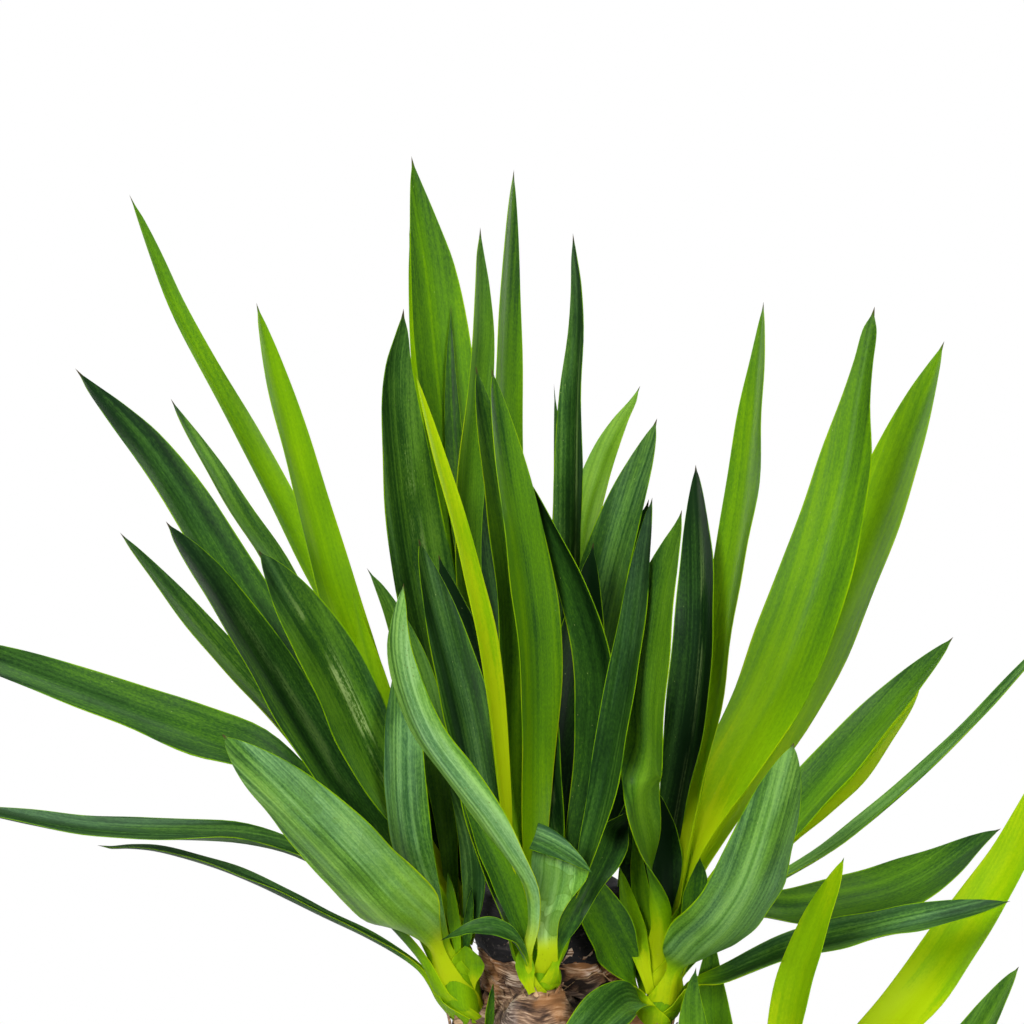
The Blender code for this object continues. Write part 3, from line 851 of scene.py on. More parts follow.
def fitted_leaf(shoot, node):
    """A leaf's sections and its tip, after every correction."""
    crown = crowns[shoot]
    cuts, tip = read_leaf(nodes[node], crown)
    for cut, rounder in zip(cuts, ROUNDER_BASES.get(node, ())):
        cut.half = cut.half * rounder
        cut.trough, cut.keel = cut.trough * rounder, cut.keel * rounder
    for cut, closer in zip(cuts, CLOSER_FEET):
        axis = stem_axis(shoot, cut.middle.z)
        cut.middle = axis + (cut.middle - axis) * closer
    bends = BENDS.get(node, ())
    for cut in cuts:
        side, rise, wider = bent((cut.middle - crown).length / (tip - crown).length, bends)
        cut.middle = cut.middle + Vector((side, SET_BACK.get(node, 0.0), rise)) * MM
        cut.half = cut.half * wider
    side, rise, _ = bent(1.0, bends)
    return cuts, tip + Vector((side, 0.0, rise)) * MM


print("closest sheaths:", {shoot: round(radius / MM, 1) for shoot, radius in INNER_SHEATHS.items()}, "mm")

# %% [markdown]
# ## Growing the leaves
# All is ready now, so one loop grows every leaf over the solid that it stands for. Each gets a
# seed of its own, and the same seed gives the same waves in every run.

# %% Grow the leaves over their solids
for shoot, looks in LEAF_LOOKS.items():
    for order, (tone, bloom, wave) in enumerate(looks, start=1):
        node = f"{shoot}_leaf_{order:02d}"
        cuts, tip = fitted_leaf(shoot, node)
        if node in DRAWN_EDGES:
            cuts = drawn_cuts(crowns[shoot], DRAWN_EDGES[node])
        if node == FOLDED_LEAF:
            tip = None
        radius = INNER_SHEATHS[shoot] + SHEATH_LAYER * (len(looks) - order)
        seed = 100 * SHOOTS.index(shoot) + order
        look = look_of(tone, bloom, STREAKS_AND_SHEENS.get(node, 0.0), WATER.get(node, 0.0))
        leaf = leaf_mesh(cuts, tip, look, wave, seed, shoot, radius, SHORT_SHEATHS.get(shoot, 1.0))
        put(node + "_blade", leaf[0], leaf[1], leaf_paint, leaf[2], [node])
    print(shoot, "shoot:", len(looks), "leaves")

# %% [markdown]
# ## Stems
# Each shoot's stem is soft and green, ringed by the scars of leaves that have gone. It can be a
# bevelled curve, but the solid already has its own sections, so a finer tube is drawn through
# their middles. Ridges every few millimetres are the scars.

# %% Rings into a closed skin
def skin(rows):
    """Points and faces over rings of equal length, with a fan over each open end."""
    count = len(rows[0])
    points = [point for row in rows for point in row] + [middle_of(rows[0]), middle_of(rows[-1])]
    faces = []
    for k in range(0, (len(rows) - 1) * count, count):
        faces += band(k, count)
    last = (len(rows) - 1) * count
    faces += [((i + 1) % count, i, len(points) - 2) for i in range(count)]
    faces += [(last + i, last + (i + 1) % count, len(points) - 1) for i in range(count)]
    return points, faces


def around(count):
    """Evenly spaced angles round a circle."""
    return [2.0 * math.pi * i / count for i in range(count)]


def spoke(angle):
    """The level direction at an angle."""
    return Vector((math.cos(angle), math.sin(angle), 0.0))


def ring_round(middle, ahead, radius_at, count):
    """A ring of points square to a direction, with a radius for each angle."""
    start = Vector((1.0, 0.0, 0.0))
    first = (start - ahead * start.dot(ahead)).normalized()
    second = ahead.cross(first)
    return [middle + (first * math.cos(a) + second * math.sin(a)) * radius_at(a) for a in around(count)]


def rough(point, scale, seed=0.0):
    """Smooth noise from -1 to 1 at a point, with a scale in cells a metre along each axis."""
    return noise.noise(Vector((point.x * scale[0] + seed, point.y * scale[1], point.z * scale[2])))


print("a skin closes", len(skin([[UP, -UP, UP.orthogonal()]] * 2)[1]), "faces over two triangles")

# %% The stem material
def stem_material():
    paint = Paint("yucca_stem")
    here = paint.here()
    cloud = paint.noise(here, (110.0, 110.0, 60.0))
    thread = paint.noise(here, (900.0, 900.0, 60.0), 2.0)
    green = paint.ramp(cloud * 0.6 + thread * 0.4, [(0.3, (0.16, 0.30, 0.012)), (0.7, (0.42, 0.56, 0.04))])
    scar = paint.noise(here, (140.0, 140.0, 700.0), 2.0).step(0.60, 0.66)
    coloured = paint.blend(scar * 0.7, green, (0.16, 0.13, 0.04))
    relief = paint.bump(thread + scar, 0.3 * MM, 0.6)
    return paint.finish(paint.surface_of(coloured, 0.42 + cloud * 0.12, relief, 1.36))


stem_paint = stem_material()
print("stem material nodes:", len(stem_paint.node_tree.nodes))

# %% Stems
STEM_SLIMMER = 0.68
STEM_ENDS_AT = 5
STEM_SPIKE = 16.0 * MM
STEM_STEPS = 5
STEM_AROUND = 40


def smooth_path(points, steps):
    """A few points with more between them, on a smooth curve."""
    return [row[0] for row in smooth_rows([[p] for p in points], [steps] * (len(points) - 1))]


def direction(path, k):
    """Which way a path runs at its point k."""
    return (path[min(k + 1, len(path) - 1)] - path[max(k - 1, 0)]).normalized()


for shoot, rings in stems.items():
    middles = [middle_of(ring) for ring in rings[:STEM_ENDS_AT]]
    radii = [sum((p - m).length for p in ring) / len(ring) for ring, m in zip(rings, middles)] + [1.5 * MM]
    middles.append(middles[-1] + UP * STEM_SPIKE)
    middles = smooth_path(middles, STEM_STEPS)
    rows = []
    for k, middle in enumerate(middles):
        below, part = divmod(k, STEM_STEPS)
        radius = radii[below] + (radii[min(below + 1, len(radii) - 1)] - radii[below]) * part / STEM_STEPS
        scar = 0.25 * MM * math.sin(k * 2.1) + 0.15 * MM * math.sin(k * 0.9)
        girth = lambda a: radius * STEM_SLIMMER + scar + 0.2 * MM * math.sin(3 * a + k)
        rows.append(ring_round(middle, direction(middles, k), girth, STEM_AROUND))
    points, faces = skin(rows)
    put(f"{shoot}_stem", points, faces, stem_paint, None, [f"{shoot}_shoot_stem"])
print("stems:", len(stems))

# %% [markdown]
# ## Canes
# Old yucca wood is wrapped in the torn fibres of leaf bases, layer over layer, with deep dark
# cracks between them. A picture of bark on a cylinder would look flat where it matters most, so
# the surface itself is pushed in and out by noise that is stretched round the cane, and loose
# strands are laid over it as strips of their own.

# %% Measure a cane
class Cane:
    """A cane's outline, measured on its solid: a middle and a radius for every height and angle."""

    def __init__(self, solid):
        rings = {}
        for vertex in solid.data.vertices:
            rings.setdefault(round(vertex.co.z, 5), []).append(vertex.co)
        self.heights = sorted(z for z, ring in rings.items() if len(ring) > 3)
        self.middles = [middle_of(rings[z]) for z in self.heights]
        self.radii = []
        for z, middle in zip(self.heights, self.middles):
            polar = {}
            for p in rings[z]:
                angle = math.atan2(p.y - middle.y, p.x - middle.x) % (2.0 * math.pi)
                polar[round(angle, 3)] = Vector((p.x - middle.x, p.y - middle.y)).length
            self.radii.append(sorted(polar.items()))

    @staticmethod
    def at_angle(polar, angle):
        before = polar[-1][0] - 2.0 * math.pi, polar[-1][1]
        for after in (*polar, (polar[0][0] + 2.0 * math.pi, polar[0][1])):
            if after[0] >= angle:
                share = (angle - before[0]) / max(1e-6, after[0] - before[0])
                return before[1] + (after[1] - before[1]) * share
            before = after
        return before[1]

    def outline(self, height, angle):
        """The middle and the radius at a height and an angle."""
        k = 0
        while k < len(self.heights) - 2 and self.heights[k + 1] < height:
            k += 1
        share = min(1.0, max(0.0, (height - self.heights[k]) / (self.heights[k + 1] - self.heights[k])))
        low, high = (self.at_angle(self.radii[i], angle % (2.0 * math.pi)) for i in (k, k + 1))
        middle = self.middles[k].lerp(self.middles[k + 1], share)
        return Vector((middle.x, middle.y, height)), low + (high - low) * share

    def point(self, height, angle, proud=0.0):
        """A point on the bark, or some way out from it."""
        middle, radius = self.outline(height, angle)
        radius += proud
        return middle + spoke(angle) * radius


canes = {name: Cane(nodes[name]) for name in ("tall_cane", "short_cane")}
for name, cane in canes.items():
    print(name, "from", cane.heights[0], "to", cane.heights[-1], "m")

# %% Bark relief
def bark_lean(angle, height):
    """How far the layers of bark swing up or down from level at a place on a cane."""
    wrap = spoke(angle)
    drift = noise.noise(wrap * 1.5 + UP * height * 20.0)
    swirl = noise.noise(wrap * 3.2 + UP * (height * 45.0 + 4.0))
    return (4.0 * math.sin(2.0 * angle + 3.0 * drift) + 9.0 * drift + 3.0 * swirl) * MM


def bark_relief(angle, height):
    """How far the bark stands in or out: lumps, torn sheets that overlap, folds, fibres and pits."""
    wrap = spoke(angle)
    slant = height + bark_lean(angle, height)
    lump = noise.noise(wrap * 1.6 + UP * height * 26.0) * 2.2 * MM
    climb = slant / (12.0 * MM) + 0.35 * noise.noise(wrap * 5.0 + UP * height * 70.0)
    sheet = climb - math.floor(climb)
    fold = max(0.0, 1.0 - abs(noise.noise(wrap * 2.2 + UP * slant * 66.0)) * 2.6)
    fibre = noise.noise(wrap * 3.5 + UP * slant * 420.0)
    crack = max(0.0, 1.0 - abs(noise.noise(wrap * 2.6 + UP * (slant * 52.0 + 7.0))) / 0.10)
    pit = max(0.0, noise.noise(wrap * 3.8 + UP * (height * 60.0 + 5.0)) - 0.20)
    return lump + ((0.5 - sheet) * 2.2 + fold * 1.4 + fibre * 0.5 - crack * 2.4 - pit * 10.0) * MM


highest = max(bark_relief(a, 0.3) for a in around(63))
print("bark stands out by up to", round(highest / MM, 1), "mm")

# %% [markdown]
# ### The colour of bark
# The finish leans its bands in the same way as the relief does. It is painted nearly black as
# shade where the relief sinks into cracks and pits, paler on raised fibres, partly as pale fibre
# and partly as painted highlight, and drifts between red-brown and ashen grey over a hand's breadth.

# %% Bark material
BARK_TONES = [
    (0.36, (0.012, 0.007, 0.004)),
    (0.44, (0.054, 0.028, 0.016)),
    (0.51, (0.160, 0.092, 0.052)),
    (0.58, (0.350, 0.230, 0.140)),
    (0.67, (0.600, 0.460, 0.315)),
]


def bark_material():
    paint = Paint("yucca_bark")
    here, relief, pale = paint.here(), paint.mark("relief"), paint.mark("pale")
    swing = {0: paint.noise(here, (26.0, 26.0, 34.0), 1.0, out=1), 1: (0.0, 0.0, 0.022), 2: here}
    leant = paint.add("ShaderNodeVectorMath", {"operation": "MULTIPLY_ADD"}, swing)
    bands = paint.noise(leant, (50.0, 50.0, 260.0), 4.0, 0.62)
    thread = paint.noise(leant, (130.0, 130.0, 1300.0), 3.0, 0.6)
    cloud = paint.noise(here, (28.0, 28.0, 36.0), 3.0)
    base = paint.ramp(bands * 0.55 + thread * 0.45, BARK_TONES)
    warm = paint.blend(cloud.step(0.48, 0.62) * 0.6, base, (0.280, 0.120, 0.036))
    ashen = paint.ramp(thread, [(0.3, (0.05, 0.032, 0.026)), (0.7, (0.21, 0.155, 0.13))])
    warm = paint.blend(cloud.step(0.46, 0.34) * 0.7, warm, ashen)
    straw = paint.ramp(thread, [(0.3, (0.20, 0.105, 0.045)), (0.7, (0.56, 0.40, 0.22))])
    faded = paint.blend(pale, warm, straw)
    # Painted shade: the bark goes nearly black where its relief sinks into cracks and pits.
    deep = relief.step(0.0 * MM, -2.2 * MM)
    coloured = paint.blend(deep * 0.94, faded, (0.008, 0.005, 0.004))
    # Raised fibres go paler: partly the fibre's own cream and partly painted highlight where they stand out.
    raised_fibre_and_highlight = relief.step(0.6 * MM, 1.9 * MM) * thread.step(0.45, 0.6)
    coloured = paint.blend(raised_fibre_and_highlight * 0.45, coloured, (0.60, 0.50, 0.40))
    bump = paint.bump(thread * 0.7 + bands, 0.7 * MM, 0.9)
    return paint.finish(paint.surface_of(coloured, 0.78 + thread * 0.2, bump, 1.3))


bark_paint = bark_material()
print("bark material nodes:", len(bark_paint.node_tree.nodes))


# %% Bark the canes
BURIED = 0.150
BARK_INSET = 0.4 * MM
CANE_GRID = {"tall_cane": (200, 230), "short_cane": (140, 120)}


def bark_rows(cane, bottom, top, sides, rows):
    """Rings of displaced points up a cane, and how far each point was moved."""
    rings, moves = [], []
    for k in range(rows + 1):
        height = bottom + (top - bottom) * k / rows
        ends = min(1.0, (top - height) / (4.0 * MM) + 0.1)
        ring = []
        for angle in around(sides):
            move = bark_relief(angle, height) * ends
            ring.append(cane.point(height, angle, move - BARK_INSET))
            moves.append(move)
        rings.append(ring)
    return rings, moves


for name, (sides, rows) in CANE_GRID.items():
    cane = canes[name]
    bottom, top = cane.heights[0], cane.heights[-1]
    foot = [cane.point(bottom, angle, -BARK_INSET) for angle in around(sides)]
    rings, moves = bark_rows(cane, BURIED, top - 0.5 * MM, sides, rows)
    points, faces = skin([foot, *rings])
    marks = {"relief": [0.0] * sides + moves + [0.0, 0.0], "pale": [0.0] * len(points)}
    put(name + "_bark", points, faces, bark_paint, marks, [name], 80.0)
    print(name, "faces:", len(faces))

# %% [markdown]
# ## Torn strands and flakes
# The fibres lift off in strips, curl at their ends and go pale where light has bleached them.
# Hair would be quick, but it has no width. Each strip here is a thin closed ribbon that follows
# the cane and stands off it at its ends.

# %% A thin ribbon
def strip(path, outs, widths, thick=0.35 * MM):
    """A closed ribbon along a path, with an outward direction and a width at each point."""
    rows = []
    for k, (point, out, width) in enumerate(zip(path, outs, widths)):
        over = direction(path, k).cross(out).normalized() * width * 0.5
        lift, near = out * thick, over * 0.3
        upper = [point - over, point - near + lift, point + near + lift]
        rows.append(upper + [point + over, point + near - lift, point - near - lift])
    return skin(rows)


print("a ribbon has", len(strip([UP, -UP], [UP.orthogonal()] * 2, [MM] * 2)[0]), "points over two cuts")

# %% Loose strands over the bark
STRAND_WIDTHS = (0.35, 0.5, 0.7, 0.9, 1.3, 2.2)
STRANDS_FROM = 0.172
STRANDS = {"tall_cane": (420, 0.432), "short_cane": (140, 0.294)}
STEPS_OF_STRAND = 10
TYPICAL_RADIUS = 0.036


def strands(cane, count, low, high):
    """Many strips over a cane, gathered."""
    draw = random.Random(count)
    heap = Heap()
    for _ in range(count):
        angle, height = draw.uniform(0.0, 2.0 * math.pi), draw.uniform(low, high)
        length, width = draw.uniform(8.0, 30.0) * MM, draw.choice(STRAND_WIDTHS) * MM
        slope = draw.gauss(0.0, 0.35)
        curl = (draw.uniform(-0.5, 2.6) * MM, draw.uniform(-0.5, 4.5) * MM)
        bend = draw.uniform(-3.0, 3.0) * MM
        path, outs, widths = [], [], []
        for i in range(STEPS_OF_STRAND + 1):
            t = i / STEPS_OF_STRAND
            turn = angle + length * (t - 0.5) / TYPICAL_RADIUS
            rise = height + slope * length * (t - 0.5) + bend * (t - 0.5) ** 2 * 4.0
            rise = min(rise + bark_lean(angle, height) - bark_lean(turn, height), high + 3.0 * MM)
            lift = 0.6 * MM + curl[0] * max(0.0, 1.0 - 4.0 * t) ** 2 + curl[1] * max(0.0, 4.0 * t - 3.0) ** 2
            path.append(cane.point(rise, turn, lift + max(0.0, bark_relief(turn, rise))))
            outs.append(spoke(turn))
            widths.append(width * (0.25 + math.sin(math.pi * min(0.97, 0.06 + t * 0.9)) ** 0.6))
        points, faces = strip(path, outs, widths)
        pale = draw.choice((0.0, 0.2, 0.5, 0.9))
        heap.add(points, faces, {"relief": [0.4 * MM] * len(points), "pale": [pale] * len(points)})
    return heap


for name, (count, high) in STRANDS.items():
    strands(canes[name], count, STRANDS_FROM, high).put(name + "_strands", bark_paint, "bark")
    print(name, "strands:", count)

# %% [markdown]
# ## Wax caps
# Growers dip the sawn end in dark wax so that it keeps its water. It dries matt, with streaks
# where it ran and an uneven edge. The cap is a cup of two skins that share a wavy lower edge.

# %% Wax material
def wax_material():
    paint = Paint("sealing_wax")
    here = paint.here()
    brushed = paint.noise(here, (90.0, 90.0, 520.0), 4.0, 0.6)
    cloud = paint.noise(here, (60.0, 60.0, 60.0), 3.0)
    stops = [(0.34, (0.004, 0.004, 0.004)), (0.54, (0.011, 0.010, 0.011)), (0.70, (0.050, 0.043, 0.041))]
    dark = paint.ramp(brushed * 0.6 + cloud * 0.4, stops)
    dust = paint.noise(here, (420.0, 420.0, 420.0), 2.0).step(0.60, 0.72)
    coloured = paint.blend(dust * 0.25, dark, (0.16, 0.12, 0.10))
    relief = paint.bump(brushed + dust * 0.5, 0.8 * MM, 0.8)
    return paint.finish(paint.surface_of(coloured, 0.50 + brushed * 0.3, relief, 1.42, 0.16))


wax_paint = wax_material()
print("wax material nodes:", len(wax_paint.node_tree.nodes))

# %% Wax caps
WAX_DEPTHS = {"tall_cane": 31.0 * MM, "short_cane": 22.0 * MM}
WAX_AROUND = 144
WAX_STEPS = 18
CAP_TOP = ((0.97, 1.4), (0.9, 1.9), (0.7, 1.7), (0.4, 1.9), (0.15, 1.7))


def wax_edge(top, depth, angle):
    """The height of the wavy lower edge of the wax, with a run here and there."""
    wave = noise.noise(spoke(angle) * 2.2 + UP * 3.0)
    drip = max(0.0, noise.noise(spoke(angle) * 7.0 + UP * 9.0))
    return top - depth * (1.0 + 0.22 * wave) - 2.0 * MM * drip


def wax_body(cane, height, angle, t):
    """A point of the cap's outer side, thinner toward its lower edge, where t is 1."""
    at = spoke(angle) + UP * height
    wave = rough(at, (2.5, 2.5, 70.0)) * 0.7 * MM + rough(at, (6.0, 6.0, 260.0), 5.0) * 0.3 * MM
    return cane.point(height, angle, (2.0 * MM + wave) * min(1.0, (1.0 - t) * 5.0 + 0.35))


def wax_cap(cane, depth):
    """A cup over a cane's end: down its inside, round its wavy edge and up its outside."""
    top, turns = cane.heights[-1], around(WAX_AROUND)
    middle = cane.outline(top, 0.0)[0]
    edges = [wax_edge(top, depth, a) for a in turns]
    rows = []
    for share in (0.4, 0.8, 0.97):
        rows.append([cane.point(top + 0.3 * MM, a).lerp(middle, 1.0 - share) for a in turns])
    downward = [k / WAX_STEPS for k in range(WAX_STEPS + 1)]
    for t in downward:
        rows.append([cane.point(top + (edge - top) * t, a, 0.5 * MM) for a, edge in zip(turns, edges)])
    for t in [1.0 - t for t in downward]:
        rows.append([wax_body(cane, top + (edge - top) * t, a, t) for a, edge in zip(turns, edges)])
    for share, rise in CAP_TOP:
        row = [cane.point(top, a, 0.6 * MM).lerp(middle, 1.0 - share) for a in turns]
        rows.append([p + UP * (rise * MM + 0.3 * MM * rough(p, (160.0, 160.0, 1.0))) for p in row])
    return skin(rows)


for name, depth in WAX_DEPTHS.items():
    points, faces = wax_cap(canes[name], depth)
    put(name + "_cap", points, faces, wax_paint, None, [name + "_wax"], 70.0)
    print(name, "wax faces:", len(faces))

# %% [markdown]
# ## Knuckles of bark round the shoots
# A shoot breaks out through the bark and keeps a swollen collar of it round its foot, with torn
# flakes that stand up like a cup. The swelling is a skin round the stem's first bend, and the
# flakes are short wide strips, so the same bark finish covers both. Tops are heights over the
# shoot's crown, sizes are radii, and flares say how much wider a foot is, all in millimetres.

# %% The swelling round a stem
KNUCKLE_TOPS = {"left": -25.0, "centre": -1.5, "right": -20.0, "back": -16.0, "lower": -18.0}
KNUCKLE_SIZES = {"left": 10.4, "centre": 9.4, "right": 11.8, "back": 11.6, "lower": 11.6}
KNUCKLE_FLARES = {shoot: 22.0 if shoot == "centre" else 13.0 for shoot in SHOOTS}
KNUCKLE_AROUND = 72


def stem_path(shoot, steps=14):
    """The middles of a shoot's stem, finely spaced, from inside its cane upwards."""
    middles = smooth_path([middle_of(ring) for ring in stems[shoot]], steps)
    inward = (middles[0] - middles[1]).normalized() * 6.0 * MM
    return [middles[0] + inward, *middles]


def knuckle(shoot, top):
    """A swollen, ridged collar round the first bend of a stem, up to a height, closed inside."""
    path = stem_path(shoot)
    path = [p for p in path if p.z < crowns[shoot].z + top * MM][::3]
    rows, moves = [], []
    for k, middle in enumerate(path):
        t = k / (len(path) - 1)
        base = (KNUCKLE_SIZES[shoot] + KNUCKLE_FLARES[shoot] * (1.0 - t)) * MM
        row = ring_round(middle, direction(path, k), lambda a: base, KNUCKLE_AROUND)
        for i, p in enumerate(row):
            ridge = rough(p, (70.0, 70.0, 300.0)) * 1.4 + rough(p, (45.0, 45.0, 60.0), 3.0) * 2.6
            crack = max(0.0, 1.0 - abs(rough(p, (70.0, 70.0, 70.0), 8.0)) / 0.10) * 1.3
            move = (ridge - crack) * MM
            row[i] = p + (p - middle).normalized() * move
            moves.append(move)
        rows.append(row)
    brim = rows[-1]
    for share in (0.86, 0.66):
        rows.append([p.lerp(path[-1], 1.0 - share) + UP * 0.6 * MM for p in brim])
        # These rows are not sunk, but carry a sunken relief so that the bark finish paints them dark: painted
        # shade in the collar's mouth.
        moves += [-1.2 * MM] * KNUCKLE_AROUND
    points, faces = skin(rows)
    return points, faces, {"relief": moves + [0.0, 0.0], "pale": [0.0] * len(points)}, path[-1]


print("knuckles of", KNUCKLE_SIZES, "mm")


# %% Flakes that stand round a stem
FLAKE_CUTS = 7


def torn_flakes(heap, middle, size, count, seed):
    """Flakes of bark that stand up and out round a shoot's foot."""
    draw = random.Random(seed)
    for i in range(count):
        angle = 2.0 * math.pi * (i + draw.uniform(-0.3, 0.3)) / count
        out = spoke(angle)
        rise, lean = draw.uniform(0.5, 4.5) * MM, draw.uniform(1.0, 5.0) * MM
        width = draw.uniform(3.0, 7.5) * MM
        start = middle + out * (size - draw.uniform(0.2, 1.4)) * MM - UP * draw.uniform(4.0, 8.0) * MM
        path, outs, widths = [], [], []
        for k in range(FLAKE_CUTS):
            t = k / (FLAKE_CUTS - 1)
            path.append(start + UP * (rise + 5.0 * MM) * t + out * lean * t * t)
            outs.append((out - UP * 0.5 * t).normalized())
            widths.append(width * (1.0 - 0.75 * t**1.5) * (0.9 + 0.25 * math.sin(5.0 * t + i)))
        points, faces = strip(path, outs, widths, 0.4 * MM)
        pale = draw.choice((0.0, 0.2, 0.5))
        heap.add(points, faces, {"relief": [0.5 * MM] * len(points), "pale": [pale] * len(points)})


print("a flake is a strip of", FLAKE_CUTS, "cuts")

# %% [markdown]
# ### Cupped sheaths
# The lowest sheath has lost its leaf and stays as a short green cup round the stem. It is a
# ring turned about the stem's own leaning middle line, with a wavy brim that is higher on one
# side. It wears the leaf finish, read near a leaf's foot, where that finish is pale; it is read
# a little farther up on its left front side, which paints shade there. Its profile is in shares
# of a cup's own radius and height.

# %% Cups
CUP_SIZES = {shoot: (11.5, 11.0) for shoot in SHOOTS}
CUP_SIZES.update({"left": (11.8, 27.0), "centre": (9.3, 11.0)})
CUP_PROFILE = (
    (0.30, -0.16), (0.62, -0.08), (0.84, 0.08), (0.96, 0.26), (1.0, 0.50), (0.99, 0.74), (0.94, 1.0),
    (0.90, 0.98), (0.86, 0.60), (0.60, 0.30),
)
CUP_AROUND = 48


def cup(shoot, number, bottom):
    """Points, faces and marks of the cup round a shoot's foot."""
    size, tall = CUP_SIZES[shoot]
    rows, alongs_with_side_shade, places = [], [], []
    for share, climb in CUP_PROFILE:
        height, above = bottom + climb * tall * MM, max(0.0, climb)
        rows.append([])
        for angle in around(CUP_AROUND):
            axis = stem_axis(shoot, height)
            wavy = 1.0 + 0.04 * math.sin(3.0 * angle + number)
            rise = 0.22 * math.cos(angle - 2.9 - number) * above * tall * MM
            out = spoke(angle) * (share * size * wavy * MM)
            rows[-1].append(Vector((axis.x, axis.y, height + rise)) + out)
            # Painted shade: the cosine term reads the finish farther from the foot on the left front, so that
            # side comes out darker.
            alongs_with_side_shade.append(0.05 + 0.05 * above + 0.04 * math.cos(angle - 3.6))
            places.append((angle * size * MM, climb * tall * MM, number * 3.7))
    points, faces = skin(rows)
    marks = {"along": alongs_with_side_shade + [0.02, 0.02], "place": places + [(0.0, 0.0, 0.0)] * 2}
    marks.update({name: [0.0] * len(points) for name in ("across", "under")})
    marks.update({name: [value] * len(points) for name, value in look_of(0.36).items()})
    return points, faces, marks


print("cup heights:", {shoot: tall for shoot, (_, tall) in CUP_SIZES.items()}, "mm")

# %% Seat each shoot in the bark
FLAKES_ROUND_A_SHOOT = 9
collars = Heap()
cups = Heap()
for number, (shoot, top) in enumerate(KNUCKLE_TOPS.items()):
    points, faces, marks, mouth = knuckle(shoot, top)
    collars.add(points, faces, marks)
    torn_flakes(collars, mouth, KNUCKLE_SIZES[shoot], FLAKES_ROUND_A_SHOOT, 40 + number)
    cups.add(*cup(shoot, number, mouth.z))
collars.put("bark_collars", bark_paint, "bark", (), 80.0)
cups.put("shoot_cups", leaf_paint, "stem")
print("collars:", len(KNUCKLE_TOPS), "points:", len(collars.points))

# %% [markdown]
# ## Small leaves and young ones
# Between the long leaves stand short ones: new spears in the middle, old stubs low down, and
# dark ones deep inside that close the crown. They could be copies of one leaf, but copies show.
# Each has its own bend through three points, measured in millimetres from its shoot's crown: its
# foot, its middle and its tip. Its width, the way that its upper side faces, and its tone and
# bloom come after them.

# %% Leaves on a bend of their own
SMALL_SHARES = (0.42, 0.44, 0.52, 0.68, 0.84, 0.95, 1.0, 0.97, 0.88, 0.72, 0.50, 0.26)
FLAP_SHARES = (1.0, 0.99, 0.94, 0.85, 0.73, 0.58, 0.42, 0.24)


def bent_cuts(foot, middle, tip, width, facing, shares=SMALL_SHARES):
    """Sections of a small leaf on one smooth bend."""
    bend = middle * 2.0 - (foot + tip) * 0.5
    cuts = []
    for k, share in enumerate(shares):
        t = k / len(shares)
        before, after = foot.lerp(bend, t), bend.lerp(tip, t)
        ahead = (after - before).normalized()
        up = (facing - ahead * facing.dot(ahead)).normalized()
        half = ahead.cross(up).normalized() * (0.5 * width * share)
        depth = 0.14 * width * share
        cuts.append(Section(before.lerp(after, t), half, up, depth, depth + (2.4 - 1.8 * t) * MM))
    return cuts


print("a small leaf has", len(SMALL_SHARES), "cuts")

